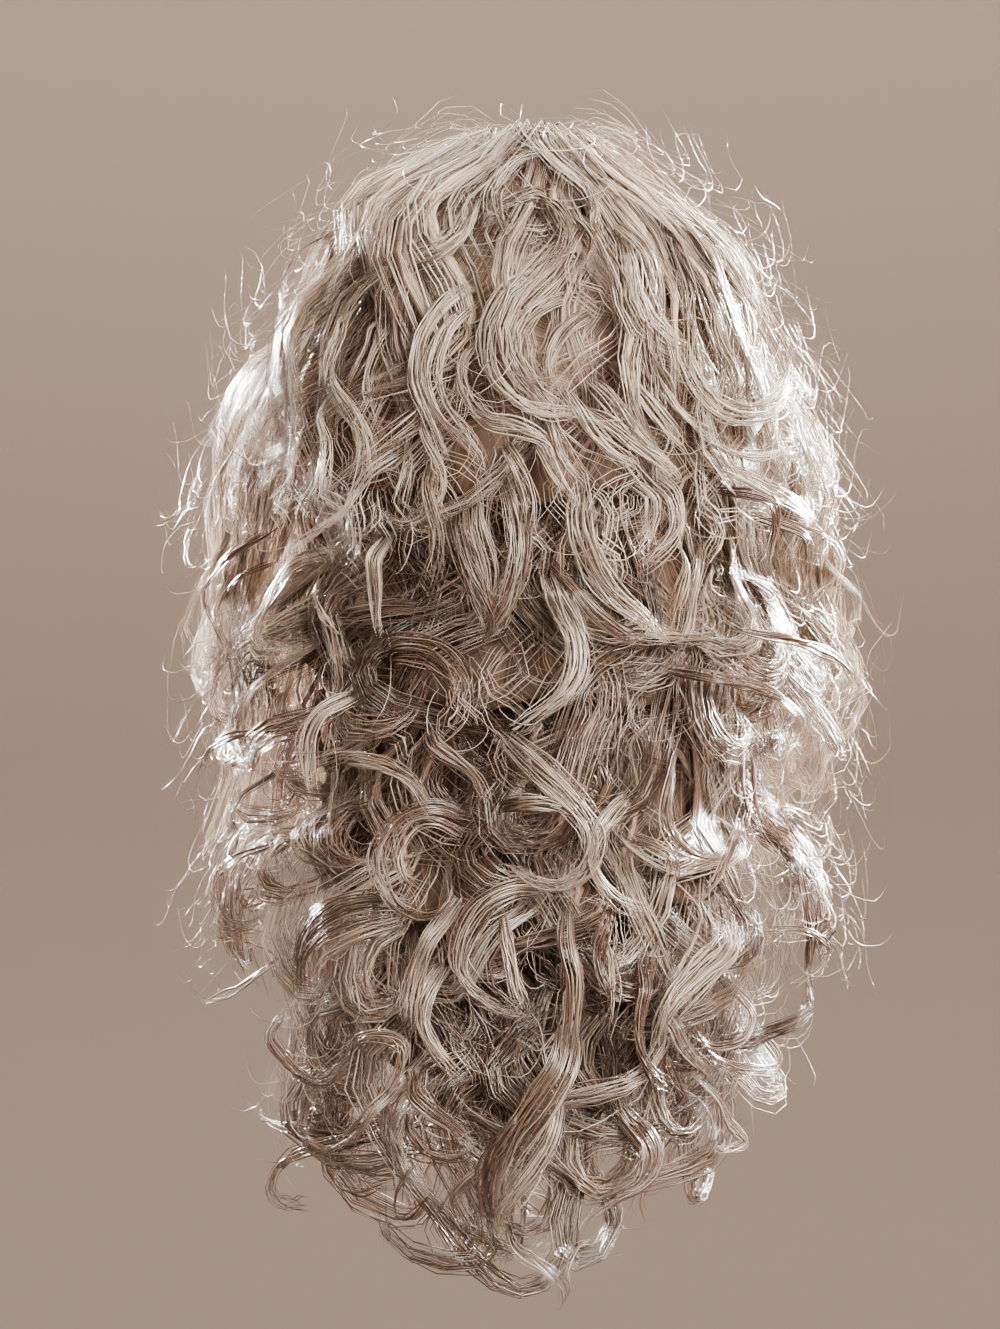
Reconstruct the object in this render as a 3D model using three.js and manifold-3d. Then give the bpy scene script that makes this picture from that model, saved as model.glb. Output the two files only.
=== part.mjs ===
// A long curly wig: a hollow cap, and six rows of curled locks sewn to it, each row one
// weft strip with its locks fused to it.
// Millimetres. +Z is up, +Y points out of the face opening, +X is the wearer's right.
// The origin is the point inside the cap where the crown of the head bears.

import * as THREE from "three";
import { mergeVertices } from "three/addons/utils/BufferGeometryUtils.js";
import Module from "manifold-3d";

const wasm = await Module();
wasm.setup();

// The head that the cap is made for: half an ellipsoid above the brow line, and a taper to the nape below it.
const HEAD_HALF_WIDTH = 76;
const HEAD_HALF_LENGTH = 95.5;
const BROW_DROP = 95;
const NAPE_TAPER = 0.14;
const NAPE_TAPER_DROP = 70;

// The cap's wall, and its lower edge. Azimuth runs from the back of the head, 0, to the face, 180.
const CAP_WALL = 1.5;
const CAP_COLUMNS = 32;
const CAP_ROWS = 6;
const CAP_EDGE = [
  { azimuth: 0, z: -166 },
  { azimuth: 60, z: -160 },
  { azimuth: 82, z: -118 },
  { azimuth: 102, z: -134 },
  { azimuth: 122, z: -104 },
  { azimuth: 150, z: -66 },
  { azimuth: 180, z: -58 },
];

// Every weft strip lies this far off the cap.
const SEAT_GAP = 0.4;
const STRIP_THICKNESS = 2.4;
const STRIP_HEIGHT = 10;
const PARTING_STRIP_WIDTH = 7;

// A row's hair hangs as one ridged sheet, a ridge to a lock, and each lock ends in a curl of flattened
// hexagon section that winds once in this length.
const CURL_PITCH = 74;
const CURL_STEPS = 4;
const PHASE_STEP = THREE.MathUtils.degToRad(137.5);
const VALLEY_SHARE = 0.25;
const HEM_NOTCH = 0.8;
const CURL_START_SHARE = 0.75;

// Each row of hair. A section says where the row's middle surface passes: its height at the row's first
// azimuth (its middle one, for a row round the back) and at its last one, its half width across the head,
// its depth behind the head (in front of it, for the face rows), how far the locks sway round the head, in
// degrees, the hair's thickness, and the width and the winding radius of a lock that has come free.
const ROWS = [
  {
    name: "crown_hair",
    colour: 0xcfc3b4,
    locks: 9,
    from: -88,
    to: 88,
    stepsPerSection: 2,
    root: { halfWidth: 14, depth: 50 },
    sections: [
      { zMid: 15, zEnd: 18, halfWidth: 40, depth: 74, sway: 2, thickness: 17 },
      { zMid: -14, zEnd: -8, halfWidth: 76, depth: 100, sway: 4, thickness: 20 },
      { zMid: -52, zEnd: -46, halfWidth: 105, depth: 118, sway: -3, thickness: 20 },
      { zMid: -100, zEnd: -94, halfWidth: 131, depth: 133, sway: 3, thickness: 18 },
      { zMid: -136, zEnd: -130, halfWidth: 143, depth: 141, sway: 0, thickness: 15, width: 32, winding: 4 },
      { zMid: -166, zEnd: -159, halfWidth: 149, depth: 146, thickness: 16, width: 29, winding: 12 },
      { zMid: -200, zEnd: -192, halfWidth: 152, depth: 150, thickness: 6, width: 9, winding: 15 },
    ],
  },
  {
    name: "upper_weft_hair",
    colour: 0xc4b5a4,
    locks: 9,
    from: -88,
    to: 88,
    stepsPerSection: 1,
    root: { z: -50 },
    sections: [
      { zMid: -72, zEnd: -72, halfWidth: 83, depth: 102, sway: 0, thickness: 8 },
      { zMid: -104, zEnd: -104, halfWidth: 98, depth: 111, sway: 0, thickness: 11 },
      { zMid: -148, zEnd: -148, halfWidth: 112, depth: 114, sway: 3, thickness: 12 },
      { zMid: -196, zEnd: -192, halfWidth: 116, depth: 114, sway: -3, thickness: 12 },
      { zMid: -234, zEnd: -230, halfWidth: 138, depth: 133, sway: 3, thickness: 14, width: 32, winding: 4 },
      { zMid: -274, zEnd: -268, halfWidth: 149, depth: 149, thickness: 16, width: 29, winding: 14 },
      { zMid: -320, zEnd: -312, halfWidth: 152, depth: 156, thickness: 6, width: 9, winding: 17 },
    ],
  },
  {
    name: "middle_weft_hair",
    colour: 0xb7a493,
    locks: 9,
    from: -88,
    to: 88,
    stepsPerSection: 1,
    root: { z: -102 },
    sections: [
      { zMid: -126, zEnd: -126, halfWidth: 83, depth: 101, sway: 0, thickness: 5 },
      { zMid: -152, zEnd: -152, halfWidth: 86, depth: 98.5, sway: 0, thickness: 7 },
      { zMid: -194, zEnd: -192, halfWidth: 92, depth: 97, sway: 0, thickness: 9 },
      { zMid: -236, zEnd: -232, halfWidth: 107, depth: 106, sway: 2, thickness: 10 },
      { zMid: -310, zEnd: -304, halfWidth: 117, depth: 117, sway: -2, thickness: 11 },
      { zMid: -346, zEnd: -328, halfWidth: 138, depth: 143, sway: 2, thickness: 13, width: 32, winding: 4 },
      { zMid: -390, zEnd: -358, halfWidth: 149, depth: 160, thickness: 16, width: 29, winding: 15 },
      { zMid: -434, zEnd: -390, halfWidth: 147, depth: 167, thickness: 6, width: 9, winding: 18 },
    ],
  },
  {
    name: "nape_weft_hair",
    colour: 0xa89484,
    locks: 7,
    from: -60,
    to: 60,
    stepsPerSection: 1,
    root: { z: -146 },
    sections: [
      { zMid: -170, zEnd: -170, halfWidth: 71, depth: 87, sway: 0, thickness: 4 },
      { zMid: -240, zEnd: -240, halfWidth: 81, depth: 89, sway: 0, thickness: 8 },
      { zMid: -310, zEnd: -310, halfWidth: 96, depth: 98, sway: 0, thickness: 10 },
      { zMid: -370, zEnd: -364, halfWidth: 110, depth: 118, sway: 3, thickness: 11 },
      { zMid: -424, zEnd: -404, halfWidth: 120, depth: 134, sway: -3, thickness: 13, width: 30, winding: 4 },
      { zMid: -468, zEnd: -438, halfWidth: 126, depth: 158, thickness: 16, width: 28, winding: 14 },
      { zMid: -526, zEnd: -480, halfWidth: 118, depth: 168, thickness: 6, width: 9, winding: 17 },
    ],
  },
  ...[
    { name: "front_hair_right", side: 1 },
    { name: "front_hair_left", side: -1 },
  ].map(({ name, side }) => ({
    name,
    colour: 0xd8cec2,
    locks: 3,
    from: 94 * side,
    to: 150 * side,
    stepsPerSection: 2,
    root: { halfWidth: 9, depth: 80 },
    sections: [
      { zMid: 14, zEnd: -12, halfWidth: 42, depth: 87, sway: 2, thickness: 13 },
      { zMid: -20, zEnd: -42, halfWidth: 84, depth: 96, sway: 4, thickness: 17 },
      { zMid: -68, zEnd: -82, halfWidth: 118, depth: 100, sway: -3, thickness: 19 },
      { zMid: -128, zEnd: -134, halfWidth: 145, depth: 99, sway: 3, thickness: 19 },
      { zMid: -190, zEnd: -190, halfWidth: 156, depth: 97, sway: -3, thickness: 18, width: 34, winding: 4 },
      { zMid: -250, zEnd: -246, halfWidth: 158, depth: 96, thickness: 16, width: 27, winding: 13 },
      { zMid: -308, zEnd: -298, halfWidth: 156, depth: 94, thickness: 14, width: 21, winding: 16 },
      { zMid: -358, zEnd: -340, halfWidth: 151, depth: 92, thickness: 5, width: 7, winding: 17 },
    ],
  })),
];

const { degToRad, lerp, smoothstep } = THREE.MathUtils;

// The share of the head's full width and length that it has at a height, on the surface "out" off it.
function headShare(z, out) {
  if (z >= -BROW_DROP) {
    const up = (z + BROW_DROP) / (BROW_DROP + out);
    return Math.sqrt(Math.max(0, 1 - up * up));
  }
  const down = (-BROW_DROP - z) / NAPE_TAPER_DROP;
  return 1 - NAPE_TAPER * down * down;
}

// A point on the surface "out" off the head, at an azimuth and a height.
function onHead(azimuth, z, out) {
  const share = headShare(z, out);
  const angle = degToRad(azimuth);
  const x = (HEAD_HALF_WIDTH + out) * share * Math.sin(angle);
  const y = -(HEAD_HALF_LENGTH + out) * share * Math.cos(angle);
  return new THREE.Vector3(x, y, z);
}

// The height of that surface above a point of the plan.
function headTop(x, y, out) {
  const across = x / (HEAD_HALF_WIDTH + out);
  const along = y / (HEAD_HALF_LENGTH + out);
  return -BROW_DROP + (BROW_DROP + out) * Math.sqrt(1 - across * across - along * along);
}

function capEdge(azimuth) {
  const turned = Math.abs(((azimuth + 180 + 360) % 360) - 180);
  const next = CAP_EDGE.findIndex((row) => row.azimuth >= turned);
  const to = CAP_EDGE[Math.max(1, next)];
  const from = CAP_EDGE[Math.max(1, next) - 1];
  return lerp(from.z, to.z, smoothstep(turned, from.azimuth, to.azimuth));
}

// A closed surface through rings of points, each ring counter-clockwise seen from the first one's far side.
function loft(rings, endFace = fan(rings[0].length)) {
  const sides = rings[0].length;
  const positions = rings.flat().flatMap((point) => point.toArray());
  const index = [];
  for (let ring = 0; ring + 1 < rings.length; ring++) {
    for (let side = 0; side < sides; side++) {
      const a = ring * sides + side;
      const b = ring * sides + ((side + 1) % sides);
      index.push(a, b, a + sides, b, b + sides, a + sides);
    }
  }
  index.push(...endFace(0, false), ...endFace((rings.length - 1) * sides, true));
  const geometry = new THREE.BufferGeometry();
  geometry.setAttribute("position", new THREE.Float32BufferAttribute(positions, 3));
  geometry.setIndex(index);
  return geometry;
}

// A flat end face of a ring, as a fan from its first corner.
function fan(sides) {
  return (offset, forward) => {
    const index = [];
    for (let side = 1; side + 1 < sides; side++) {
      index.push(offset, offset + side + (forward ? 0 : 1), offset + side + (forward ? 1 : 0));
    }
    return index;
  };
}

// The same for a sheet, whose rings run down one face and up the other: its two ends are closed by ladders.
function stripLoft(rings, levels) {
  return loft(rings, (offset, forward) => {
    const index = [];
    for (let i = 0; i + 1 < levels; i++) {
      const [a, b] = [offset + i, offset + i + 1];
      const [c, d] = [offset + 2 * levels - 1 - i, offset + 2 * levels - 2 - i];
      index.push(...(forward ? [a, b, c, b, d, c] : [a, c, b, b, c, d]));
    }
    return index;
  });
}

function toSolid(geometry) {
  const merged = mergeVertices(geometry, 1e-4);
  const vertProperties = new Float32Array(merged.attributes.position.array);
  const triVerts = new Uint32Array(merged.index.array);
  return new wasm.Manifold(new wasm.Mesh({ numProp: 3, vertProperties, triVerts }));
}

function toGeometry(solid) {
  const mesh = solid.getMesh();
  const geometry = new THREE.BufferGeometry();
  geometry.setAttribute("position", new THREE.BufferAttribute(mesh.vertProperties, 3));
  geometry.setIndex(new THREE.BufferAttribute(mesh.triVerts, 1));
  return geometry;
}

function namedMesh(name, geometry, colour, roughness) {
  const material = new THREE.MeshStandardMaterial({ color: colour, roughness, metalness: 0 });
  geometry.computeVertexNormals();
  const mesh = new THREE.Mesh(geometry, material);
  mesh.name = name;
  return mesh;
}

// The cap: two skins from the crown down to its edge, joined along the edge.
function capGeometry() {
  const positions = [];
  const index = [];
  const crowns = [CAP_WALL, 0].map((out) => {
    positions.push(0, 0, out);
    for (let row = 1; row <= CAP_ROWS; row++) {
      const fall = 1 - Math.cos((row / CAP_ROWS) * (Math.PI / 2));
      for (let column = 0; column < CAP_COLUMNS; column++) {
        const azimuth = (column * 360) / CAP_COLUMNS;
        const z = lerp(out, capEdge(azimuth), fall);
        positions.push(...onHead(azimuth, z, out).toArray());
      }
    }
    return positions.length / 3 - 1 - CAP_ROWS * CAP_COLUMNS;
  });
  const at = (skin, row, column) => crowns[skin] + 1 + (row - 1) * CAP_COLUMNS + (column % CAP_COLUMNS);
  for (let column = 0; column < CAP_COLUMNS; column++) {
    index.push(crowns[0], at(0, 1, column), at(0, 1, column + 1));
    index.push(crowns[1], at(1, 1, column + 1), at(1, 1, column));
    for (let row = 1; row < CAP_ROWS; row++) {
      const [a, b] = [at(0, row, column), at(0, row, column + 1)];
      const [c, d] = [at(0, row + 1, column), at(0, row + 1, column + 1)];
      index.push(a, c, b, b, c, d);
      const [e, f] = [at(1, row, column), at(1, row, column + 1)];
      const [g, h] = [at(1, row + 1, column), at(1, row + 1, column + 1)];
      index.push(e, f, g, f, h, g);
    }
    const [a, b] = [at(0, CAP_ROWS, column), at(0, CAP_ROWS, column + 1)];
    const [c, d] = [at(1, CAP_ROWS, column), at(1, CAP_ROWS, column + 1)];
    index.push(a, c, b, b, c, d);
  }
  const geometry = new THREE.BufferGeometry();
  geometry.setAttribute("position", new THREE.Float32BufferAttribute(positions, 3));
  geometry.setIndex(index);
  return geometry;
}

// Where a row's hair leaves the cap at an azimuth: on its root line, or moved along the weft strip from it.
function onRootLine(root, azimuth, along) {
  const out = CAP_WALL + SEAT_GAP + STRIP_THICKNESS / 2;
  if (root.z !== undefined) return onHead(azimuth, root.z - along, out);
  const angle = degToRad(azimuth);
  const x = (root.halfWidth + along) * Math.sin(angle);
  const y = -(root.depth + along) * Math.cos(angle);
  return new THREE.Vector3(x, y, headTop(x, y, out));
}

// A row's stations from its root down: the weft strip's two edges, and then its sections.
function stationsOf(row) {
  const half = (row.root.z === undefined ? PARTING_STRIP_WIDTH : STRIP_HEIGHT) / 2;
  const edge = { sway: 0, thickness: STRIP_THICKNESS };
  return [{ ...edge, along: -half }, { ...edge, along: half }, ...row.sections];
}

// The middle line of the hair at an azimuth.
function middleLine(row, azimuth) {
  const share = (azimuth - row.from) / (row.to - row.from);
  const fromMid = row.from * row.to < 0 ? Math.abs(2 * share - 1) : share;
  const points = stationsOf(row).map((station) => {
    if (station.along !== undefined) return onRootLine(row.root, azimuth, station.along);
    const angle = degToRad(azimuth + (station.sway ?? 0));
    const x = station.halfWidth * Math.sin(angle);
    const y = -station.depth * Math.cos(angle);
    return new THREE.Vector3(x, y, lerp(station.zMid, station.zEnd, fromMid));
  });
  return new THREE.CatmullRomCurve3(points);
}

// A column's value part way along the stations, where "at" counts stations.
function columnAt(stations, column, at) {
  const from = Math.min(Math.floor(at), stations.length - 2);
  return lerp(stations[from][column], stations[from + 1][column], at - from);
}

// A level of the sheet, drawn up in the valley between two locks, so that the hem is notched there.
function notched(level, column, last) {
  const down = Math.max(0, level - 1) / (last - 1);
  return level - (column % 3 ? 0 : HEM_NOTCH * down * down);
}

// The ridged sheet, from the weft strip down to the section where the locks come free.
function hairSheet(row) {
  const stations = stationsOf(row);
  const last = stations.findIndex((station) => station.winding > 0);
  const levels = [0];
  for (let station = 1; station < last; station++) {
    for (let step = 0; step < row.stepsPerSection; step++) levels.push(station + step / row.stepsPerSection);
  }
  levels.push(last);
  const columns = row.locks * 3;
  const grid = [];
  for (let column = 0; column <= columns; column++) {
    const line = middleLine(row, lerp(row.from, row.to, column / columns));
    grid.push(levels.map((level) => line.getPoint(notched(level, column, last) / (stations.length - 1))));
  }
  const rings = grid.map((points, column) => {
    const ridge = column % 3 ? 0.5 : VALLEY_SHARE / 2;
    const [left, right] = [grid[Math.max(column - 1, 0)], grid[Math.min(column + 1, columns)]];
    const faces = points.map((point, i) => {
      const along = points[Math.min(i + 1, points.length - 1)].clone().sub(points[Math.max(i - 1, 0)]);
      const across = right[i].clone().sub(left[i]);
      const outward = across.cross(along).normalize().multiplyScalar(Math.sign(row.to - row.from));
      const thickness = columnAt(stations, "thickness", notched(levels[i], column, last));
      const share = levels[i] <= 1 ? 0.5 : ridge;
      const half = outward.multiplyScalar(thickness * share);
      return [point.clone().sub(half), point.clone().add(half)];
    });
    return [...faces.map((pair) => pair[0]), ...faces.map((pair) => pair[1]).reverse()];
  });
  return stripLoft(row.to > row.from ? rings : rings.reverse(), levels.length);
}

// A lock's free end: it starts inside the sheet, and winds about the row's middle line as it curls.
function curl(row, number) {
  const stations = stationsOf(row);
  const free = stations.findIndex((station) => station.winding > 0);
  const azimuth = lerp(row.from, row.to, (number + 0.5) / row.locks);
  const angle = degToRad(azimuth);
  const line = middleLine(row, azimuth);
  const sideways = new THREE.Vector3(Math.cos(angle), Math.sin(angle), 0);
  const outward = new THREE.Vector3(Math.sin(angle), -Math.cos(angle), 0);
  const hand = number % 2 ? 1 : -1;
  const centres = [];
  const sizes = [];
  const steps = (stations.length - 1 - free) * CURL_STEPS;
  for (let step = -1; step <= steps; step += step < 0 ? 2 : 1) {
    const at = free + step / CURL_STEPS;
    const within = Math.max(at, free);
    const width = columnAt(stations, "width", within);
    const winding = columnAt(stations, "winding", within);
    const centre = line.getPoint(at / (stations.length - 1));
    const phase = number * PHASE_STEP + (hand * 2 * Math.PI * -centre.z) / CURL_PITCH;
    centre.addScaledVector(outward, winding * Math.cos(phase));
    centre.addScaledVector(sideways, winding * Math.sin(phase));
    centres.push(centre);
    const share = step > 0 ? 1 : CURL_START_SHARE;
    sizes.push({ width: width * share, thickness: columnAt(stations, "thickness", within) * share });
  }
  const rings = centres.map((centre, i) => {
    const ahead = centres[Math.min(i + 1, centres.length - 1)];
    const behind = centres[Math.max(i - 1, 0)];
    const direction = ahead.clone().sub(behind).normalize();
    const across = sideways.clone().addScaledVector(direction, -sideways.dot(direction)).normalize();
    const through = new THREE.Vector3().crossVectors(direction, across);
    return lockSection(centre, across, through, sizes[i]);
  });
  return loft(rings);
}

// A flattened hexagon, its corners at the middles of the lock's two edges and a quarter of the way in from them.
function lockSection(centre, across, through, { width, thickness }) {
  const corners = [
    [0.5, 0],
    [0.25, 0.5],
    [-0.25, 0.5],
    [-0.5, 0],
    [-0.25, -0.5],
    [0.25, -0.5],
  ];
  return corners.map(([u, v]) =>
    centre.clone().addScaledVector(across, u * width).addScaledVector(through, v * thickness),
  );
}

// A row: the sheet with the curled ends of all its locks fused to it.
function hairRow(row) {
  let solid = toSolid(hairSheet(row));
  for (let number = 0; number < row.locks; number++) solid = solid.add(toSolid(curl(row, number)));
  return namedMesh(row.name, toGeometry(solid), row.colour, 0.45);
}

const wig = new THREE.Group();
wig.add(namedMesh("wig_cap", capGeometry(), 0x8d7a6c, 0.9));
for (const row of ROWS) wig.add(hairRow(row));

export default wig;
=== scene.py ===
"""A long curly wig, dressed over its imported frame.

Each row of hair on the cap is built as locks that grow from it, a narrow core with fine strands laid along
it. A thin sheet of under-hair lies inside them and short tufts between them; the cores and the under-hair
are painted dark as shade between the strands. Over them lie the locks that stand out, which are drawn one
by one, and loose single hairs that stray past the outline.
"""

from __future__ import annotations

import logging
import math
from dataclasses import dataclass, field, replace
from enum import Enum
from functools import partial

import bpy
import numpy as np
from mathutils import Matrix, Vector

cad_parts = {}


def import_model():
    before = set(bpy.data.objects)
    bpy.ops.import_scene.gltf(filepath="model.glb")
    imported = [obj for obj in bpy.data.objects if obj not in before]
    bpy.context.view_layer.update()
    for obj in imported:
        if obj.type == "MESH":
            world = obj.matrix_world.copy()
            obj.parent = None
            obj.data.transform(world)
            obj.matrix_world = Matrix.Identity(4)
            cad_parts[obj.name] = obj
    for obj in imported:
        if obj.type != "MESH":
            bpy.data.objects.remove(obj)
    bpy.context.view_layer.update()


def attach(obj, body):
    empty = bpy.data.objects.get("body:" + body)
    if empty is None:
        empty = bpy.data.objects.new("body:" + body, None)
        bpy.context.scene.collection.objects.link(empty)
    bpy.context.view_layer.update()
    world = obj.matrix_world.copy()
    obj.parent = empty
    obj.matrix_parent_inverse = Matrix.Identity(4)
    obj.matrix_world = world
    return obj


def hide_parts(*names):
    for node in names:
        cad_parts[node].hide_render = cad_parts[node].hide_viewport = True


LOG = logging.getLogger("wig")
MM = 0.001
FRAME_WIDTH, FRAME_HEIGHT = 1000, 1329
UV_NAME = "OFBake"
LOCK_POINTS = 48
# The room that the wig takes up, in millimetres, and how far inside its walls points start to be eased back.
ROOM = np.array([[-188.0, -196.0, -548.0], [185.0, 106.0, 44.0]])
ROOM_EASE = 8.0
# How much a bend counts against length when points are shared out along a path, and the least bend counted.
BEND_WEIGHT = 1.3
LEAST_BEND = 0.004
# The steps, in radians and in stations, between which a surface's slopes are read.
AZIMUTH_STEP = 0.01
STATION_STEP = 0.02
# A little over a full turn in radians, for phases by chance.
FULL_TURN = 6.3

Array = np.ndarray
Triple = tuple[float, float, float]
Span = tuple[float, float]
Form = tuple[Array, list, Array]
Socket = bpy.types.NodeSocket


class Tone(Enum):
    """Where a lock's colour lies on the scale from lowlight brown to white silver."""

    DEEP = 0.08
    ROSY = 0.25
    TAUPE = 0.42
    BEIGE = 0.58
    PALE = 0.76
    SILVER = 0.92


class Lamp(Enum):
    """The colours of the studio's lights."""

    WARM = (1.0, 0.945, 0.875)
    SOFT = (1.0, 0.945, 0.885)
    CREAM = (1.0, 0.97, 0.93)
    CLEAR = (1.0, 0.98, 0.95)


def smooth(low: float, high: float, value: Array) -> Array:
    """A smooth step from 0 at low to 1 at high."""
    share = np.clip((value - low) / (high - low), 0.0, 1.0)
    return share * share * (3.0 - 2.0 * share)


def unit(vectors: Array) -> Array:
    """The vectors at length one."""
    return vectors / np.maximum(np.linalg.norm(vectors, axis=-1, keepdims=True), 1e-9)


def column(chance: np.random.Generator, span: Span, count: int) -> Array:
    """A chance within a span for each hair, as a column."""
    return chance.uniform(*span, count)[:, None]


def catmull_rom(points: Array, at: Array) -> Array:
    """Points on smooth curves through rows of points.

    Args:
        points: One row of points for each curve, shaped (curves, points, 3).
        at: Where to read each curve, counted in points.

    Returns:
        One point for each curve.
    """
    count = points.shape[1]
    rows = np.arange(points.shape[0])
    base = np.clip(np.floor(at).astype(int), 0, count - 2)
    part = (at - base)[:, None]
    before = points[rows, np.maximum(base - 1, 0)]
    start, end = points[rows, base], points[rows, base + 1]
    after = points[rows, np.minimum(base + 2, count - 1)]
    slope_in, slope_out = (end - before) / 2.0, (after - start) / 2.0
    p2, p3 = part * part, part**3
    return (
        (2 * p3 - 3 * p2 + 1) * start
        + (p3 - 2 * p2 + part) * slope_in
        + (3 * p2 - 2 * p3) * end
        + (p3 - p2) * slope_out
    )


def resample(paths: Array, shares: Array) -> Array:
    """Reads each path, and whatever is stacked with it, at shares of its points.

    Args:
        paths: Values along each path, shaped (paths, points, n).
        shares: Where to read, from 0 at the root to 1 at the tip, for all paths or a row for each.

    Returns:
        The values there, shaped (paths, shares, n).
    """
    at = np.broadcast_to(shares, (paths.shape[0], shares.shape[-1])) * (paths.shape[1] - 1)
    base = np.clip(np.floor(at).astype(int), 0, paths.shape[1] - 2)
    part = (at - base)[:, :, None]
    rows = np.arange(paths.shape[0])[:, None]
    return paths[rows, base] * (1 - part) + paths[rows, base + 1] * part


def shares_by_bend(paths: Array, start: float, points: int) -> Array:
    """Where to read each path so that its points lie closer where it bends.

    Args:
        paths: The paths' points, shaped (paths, points, 3).
        start: The share of each path to leave out at its root.
        points: The number of points wanted.

    Returns:
        The shares, a row for each path.
    """
    step = np.diff(paths, axis=1)
    length = np.linalg.norm(step, axis=2)
    heading = unit(step)
    bend = np.arccos(np.clip((heading[:, 1:] * heading[:, :-1]).sum(axis=2), -1.0, 1.0))
    before, after = (np.pad(bend, ((0, 0), ends), mode="edge") for ends in ((1, 0), (0, 1)))
    bend = (before + after) / 2 + LEAST_BEND
    weight = length / length.sum(axis=1, keepdims=True) + BEND_WEIGHT * bend / bend.sum(axis=1, keepdims=True)
    gone = np.pad(np.cumsum(weight, axis=1), ((0, 0), (1, 0)))
    even = np.linspace(0.0, 1.0, paths.shape[1])
    wanted = np.linspace(0.0, 1.0, points)
    rows = []
    for path in gone:
        first = np.interp(start, even, path)
        rows.append(np.interp(first + (path[-1] - first) * wanted, path, even))
    return np.array(rows)


def kept_in(points: Array) -> Array:
    """Eases points back towards the room that the wig takes up.

    Args:
        points: The points, in millimetres.

    Returns:
        The points, with those near or past a wall of the room eased back.
    """
    low, high = ROOM
    middle, half = (low + high) / 2, (high - low) / 2
    out = np.abs(points - middle) - (half - ROOM_EASE)
    eased = half - ROOM_EASE + ROOM_EASE * np.tanh(np.maximum(out, 0.0) / ROOM_EASE)
    return np.where(out > 0, middle + np.sign(points - middle) * eased, points)


def triangles(piece: bpy.types.Object) -> int:
    """The number of triangles in a piece."""
    return sum(len(face.vertices) - 2 for face in piece.data.polygons)


@dataclass(frozen=True)
class Viewpoint:
    """The camera, level with the middle of the wig and a little left of it, in metres."""

    place: Triple = (-0.0136, -1.600, -0.1806)
    pitch_deg: float = 2.1
    lens_mm: float = 86.0
    sensor_mm: float = 36.0

    @property
    def focal_px(self) -> float:
        """The focal length in pixels of the full picture."""
        return self.lens_mm / self.sensor_mm * FRAME_HEIGHT

    def ray(self, x: float, y: float) -> Array:
        """The line of sight through a pixel of the full picture.

        Args:
            x: The pixel's place from the left.
            y: The pixel's place from the top.

        Returns:
            Its direction from the camera, at length one.
        """
        pitch = math.radians(self.pitch_deg)
        forward = np.array([0.0, math.cos(pitch), -math.sin(pitch)])
        up = np.array([0.0, math.sin(pitch), math.cos(pitch)])
        right = np.array([1.0, 0.0, 0.0])
        away = forward * self.focal_px + right * (x - FRAME_WIDTH / 2) + up * (FRAME_HEIGHT / 2 - y)
        return away / np.linalg.norm(away)

    def make(self) -> None:
        """Puts the camera in the scene."""
        data = bpy.data.cameras.new("wig_camera")
        data.lens = self.lens_mm
        data.sensor_width = self.sensor_mm
        camera = bpy.data.objects.new("wig_camera", data)
        camera.location = self.place
        camera.rotation_euler = (math.radians(90.0 - self.pitch_deg), 0.0, 0.0)
        bpy.context.scene.collection.objects.link(camera)
        bpy.context.scene.camera = camera


@dataclass(frozen=True)
class SoftBox:
    """A soft light that points at a spot on the wig or on the paper, with its sizes in metres."""

    name: str
    place: Triple
    target: Triple
    width: float
    height: float
    power: float
    colour: Lamp
    spread_deg: float = 180.0
    on_paper: bool = True

    @classmethod
    def wash(cls, name: str, x: int, y: int, power: float, spread_deg: float = 100.0) -> SoftBox:
        """A long light above the wig that washes the paper at one side of it.

        Args:
            name: The light's name.
            x: 1 for the paper at the right, -1 for the left, 0 for neither.
            y: 1 for the paper behind, -1 for the front, 0 for neither.
            power: The light's power in watts.
            spread_deg: How wide its beam is.

        Returns:
            The light.
        """
        place, target = (0.6 * x, 0.6 * y, 2.4), (3.3 * x, 3.3 * y, -0.4)
        return cls(name, place, target, 2.6, 0.6, power, Lamp.CREAM, spread_deg)

    def make(self, paper: bpy.types.Collection) -> None:
        """Puts the light in the scene.

        Args:
            paper: What a light that is kept off the paper leaves dark.
        """
        data = bpy.data.lights.new(self.name, "AREA")
        data.shape = "RECTANGLE"
        data.size, data.size_y = self.width, self.height
        data.energy = self.power
        data.color = self.colour.value
        data.spread = math.radians(self.spread_deg)
        light = bpy.data.objects.new(self.name, data)
        light.location = self.place
        aim = Vector(self.target) - Vector(self.place)
        light.rotation_euler = aim.to_track_quat("-Z", "Y").to_euler()
        light.visible_camera = False
        if not self.on_paper:
            light.light_linking.receiver_collection = paper
        bpy.context.scene.collection.objects.link(light)


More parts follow.
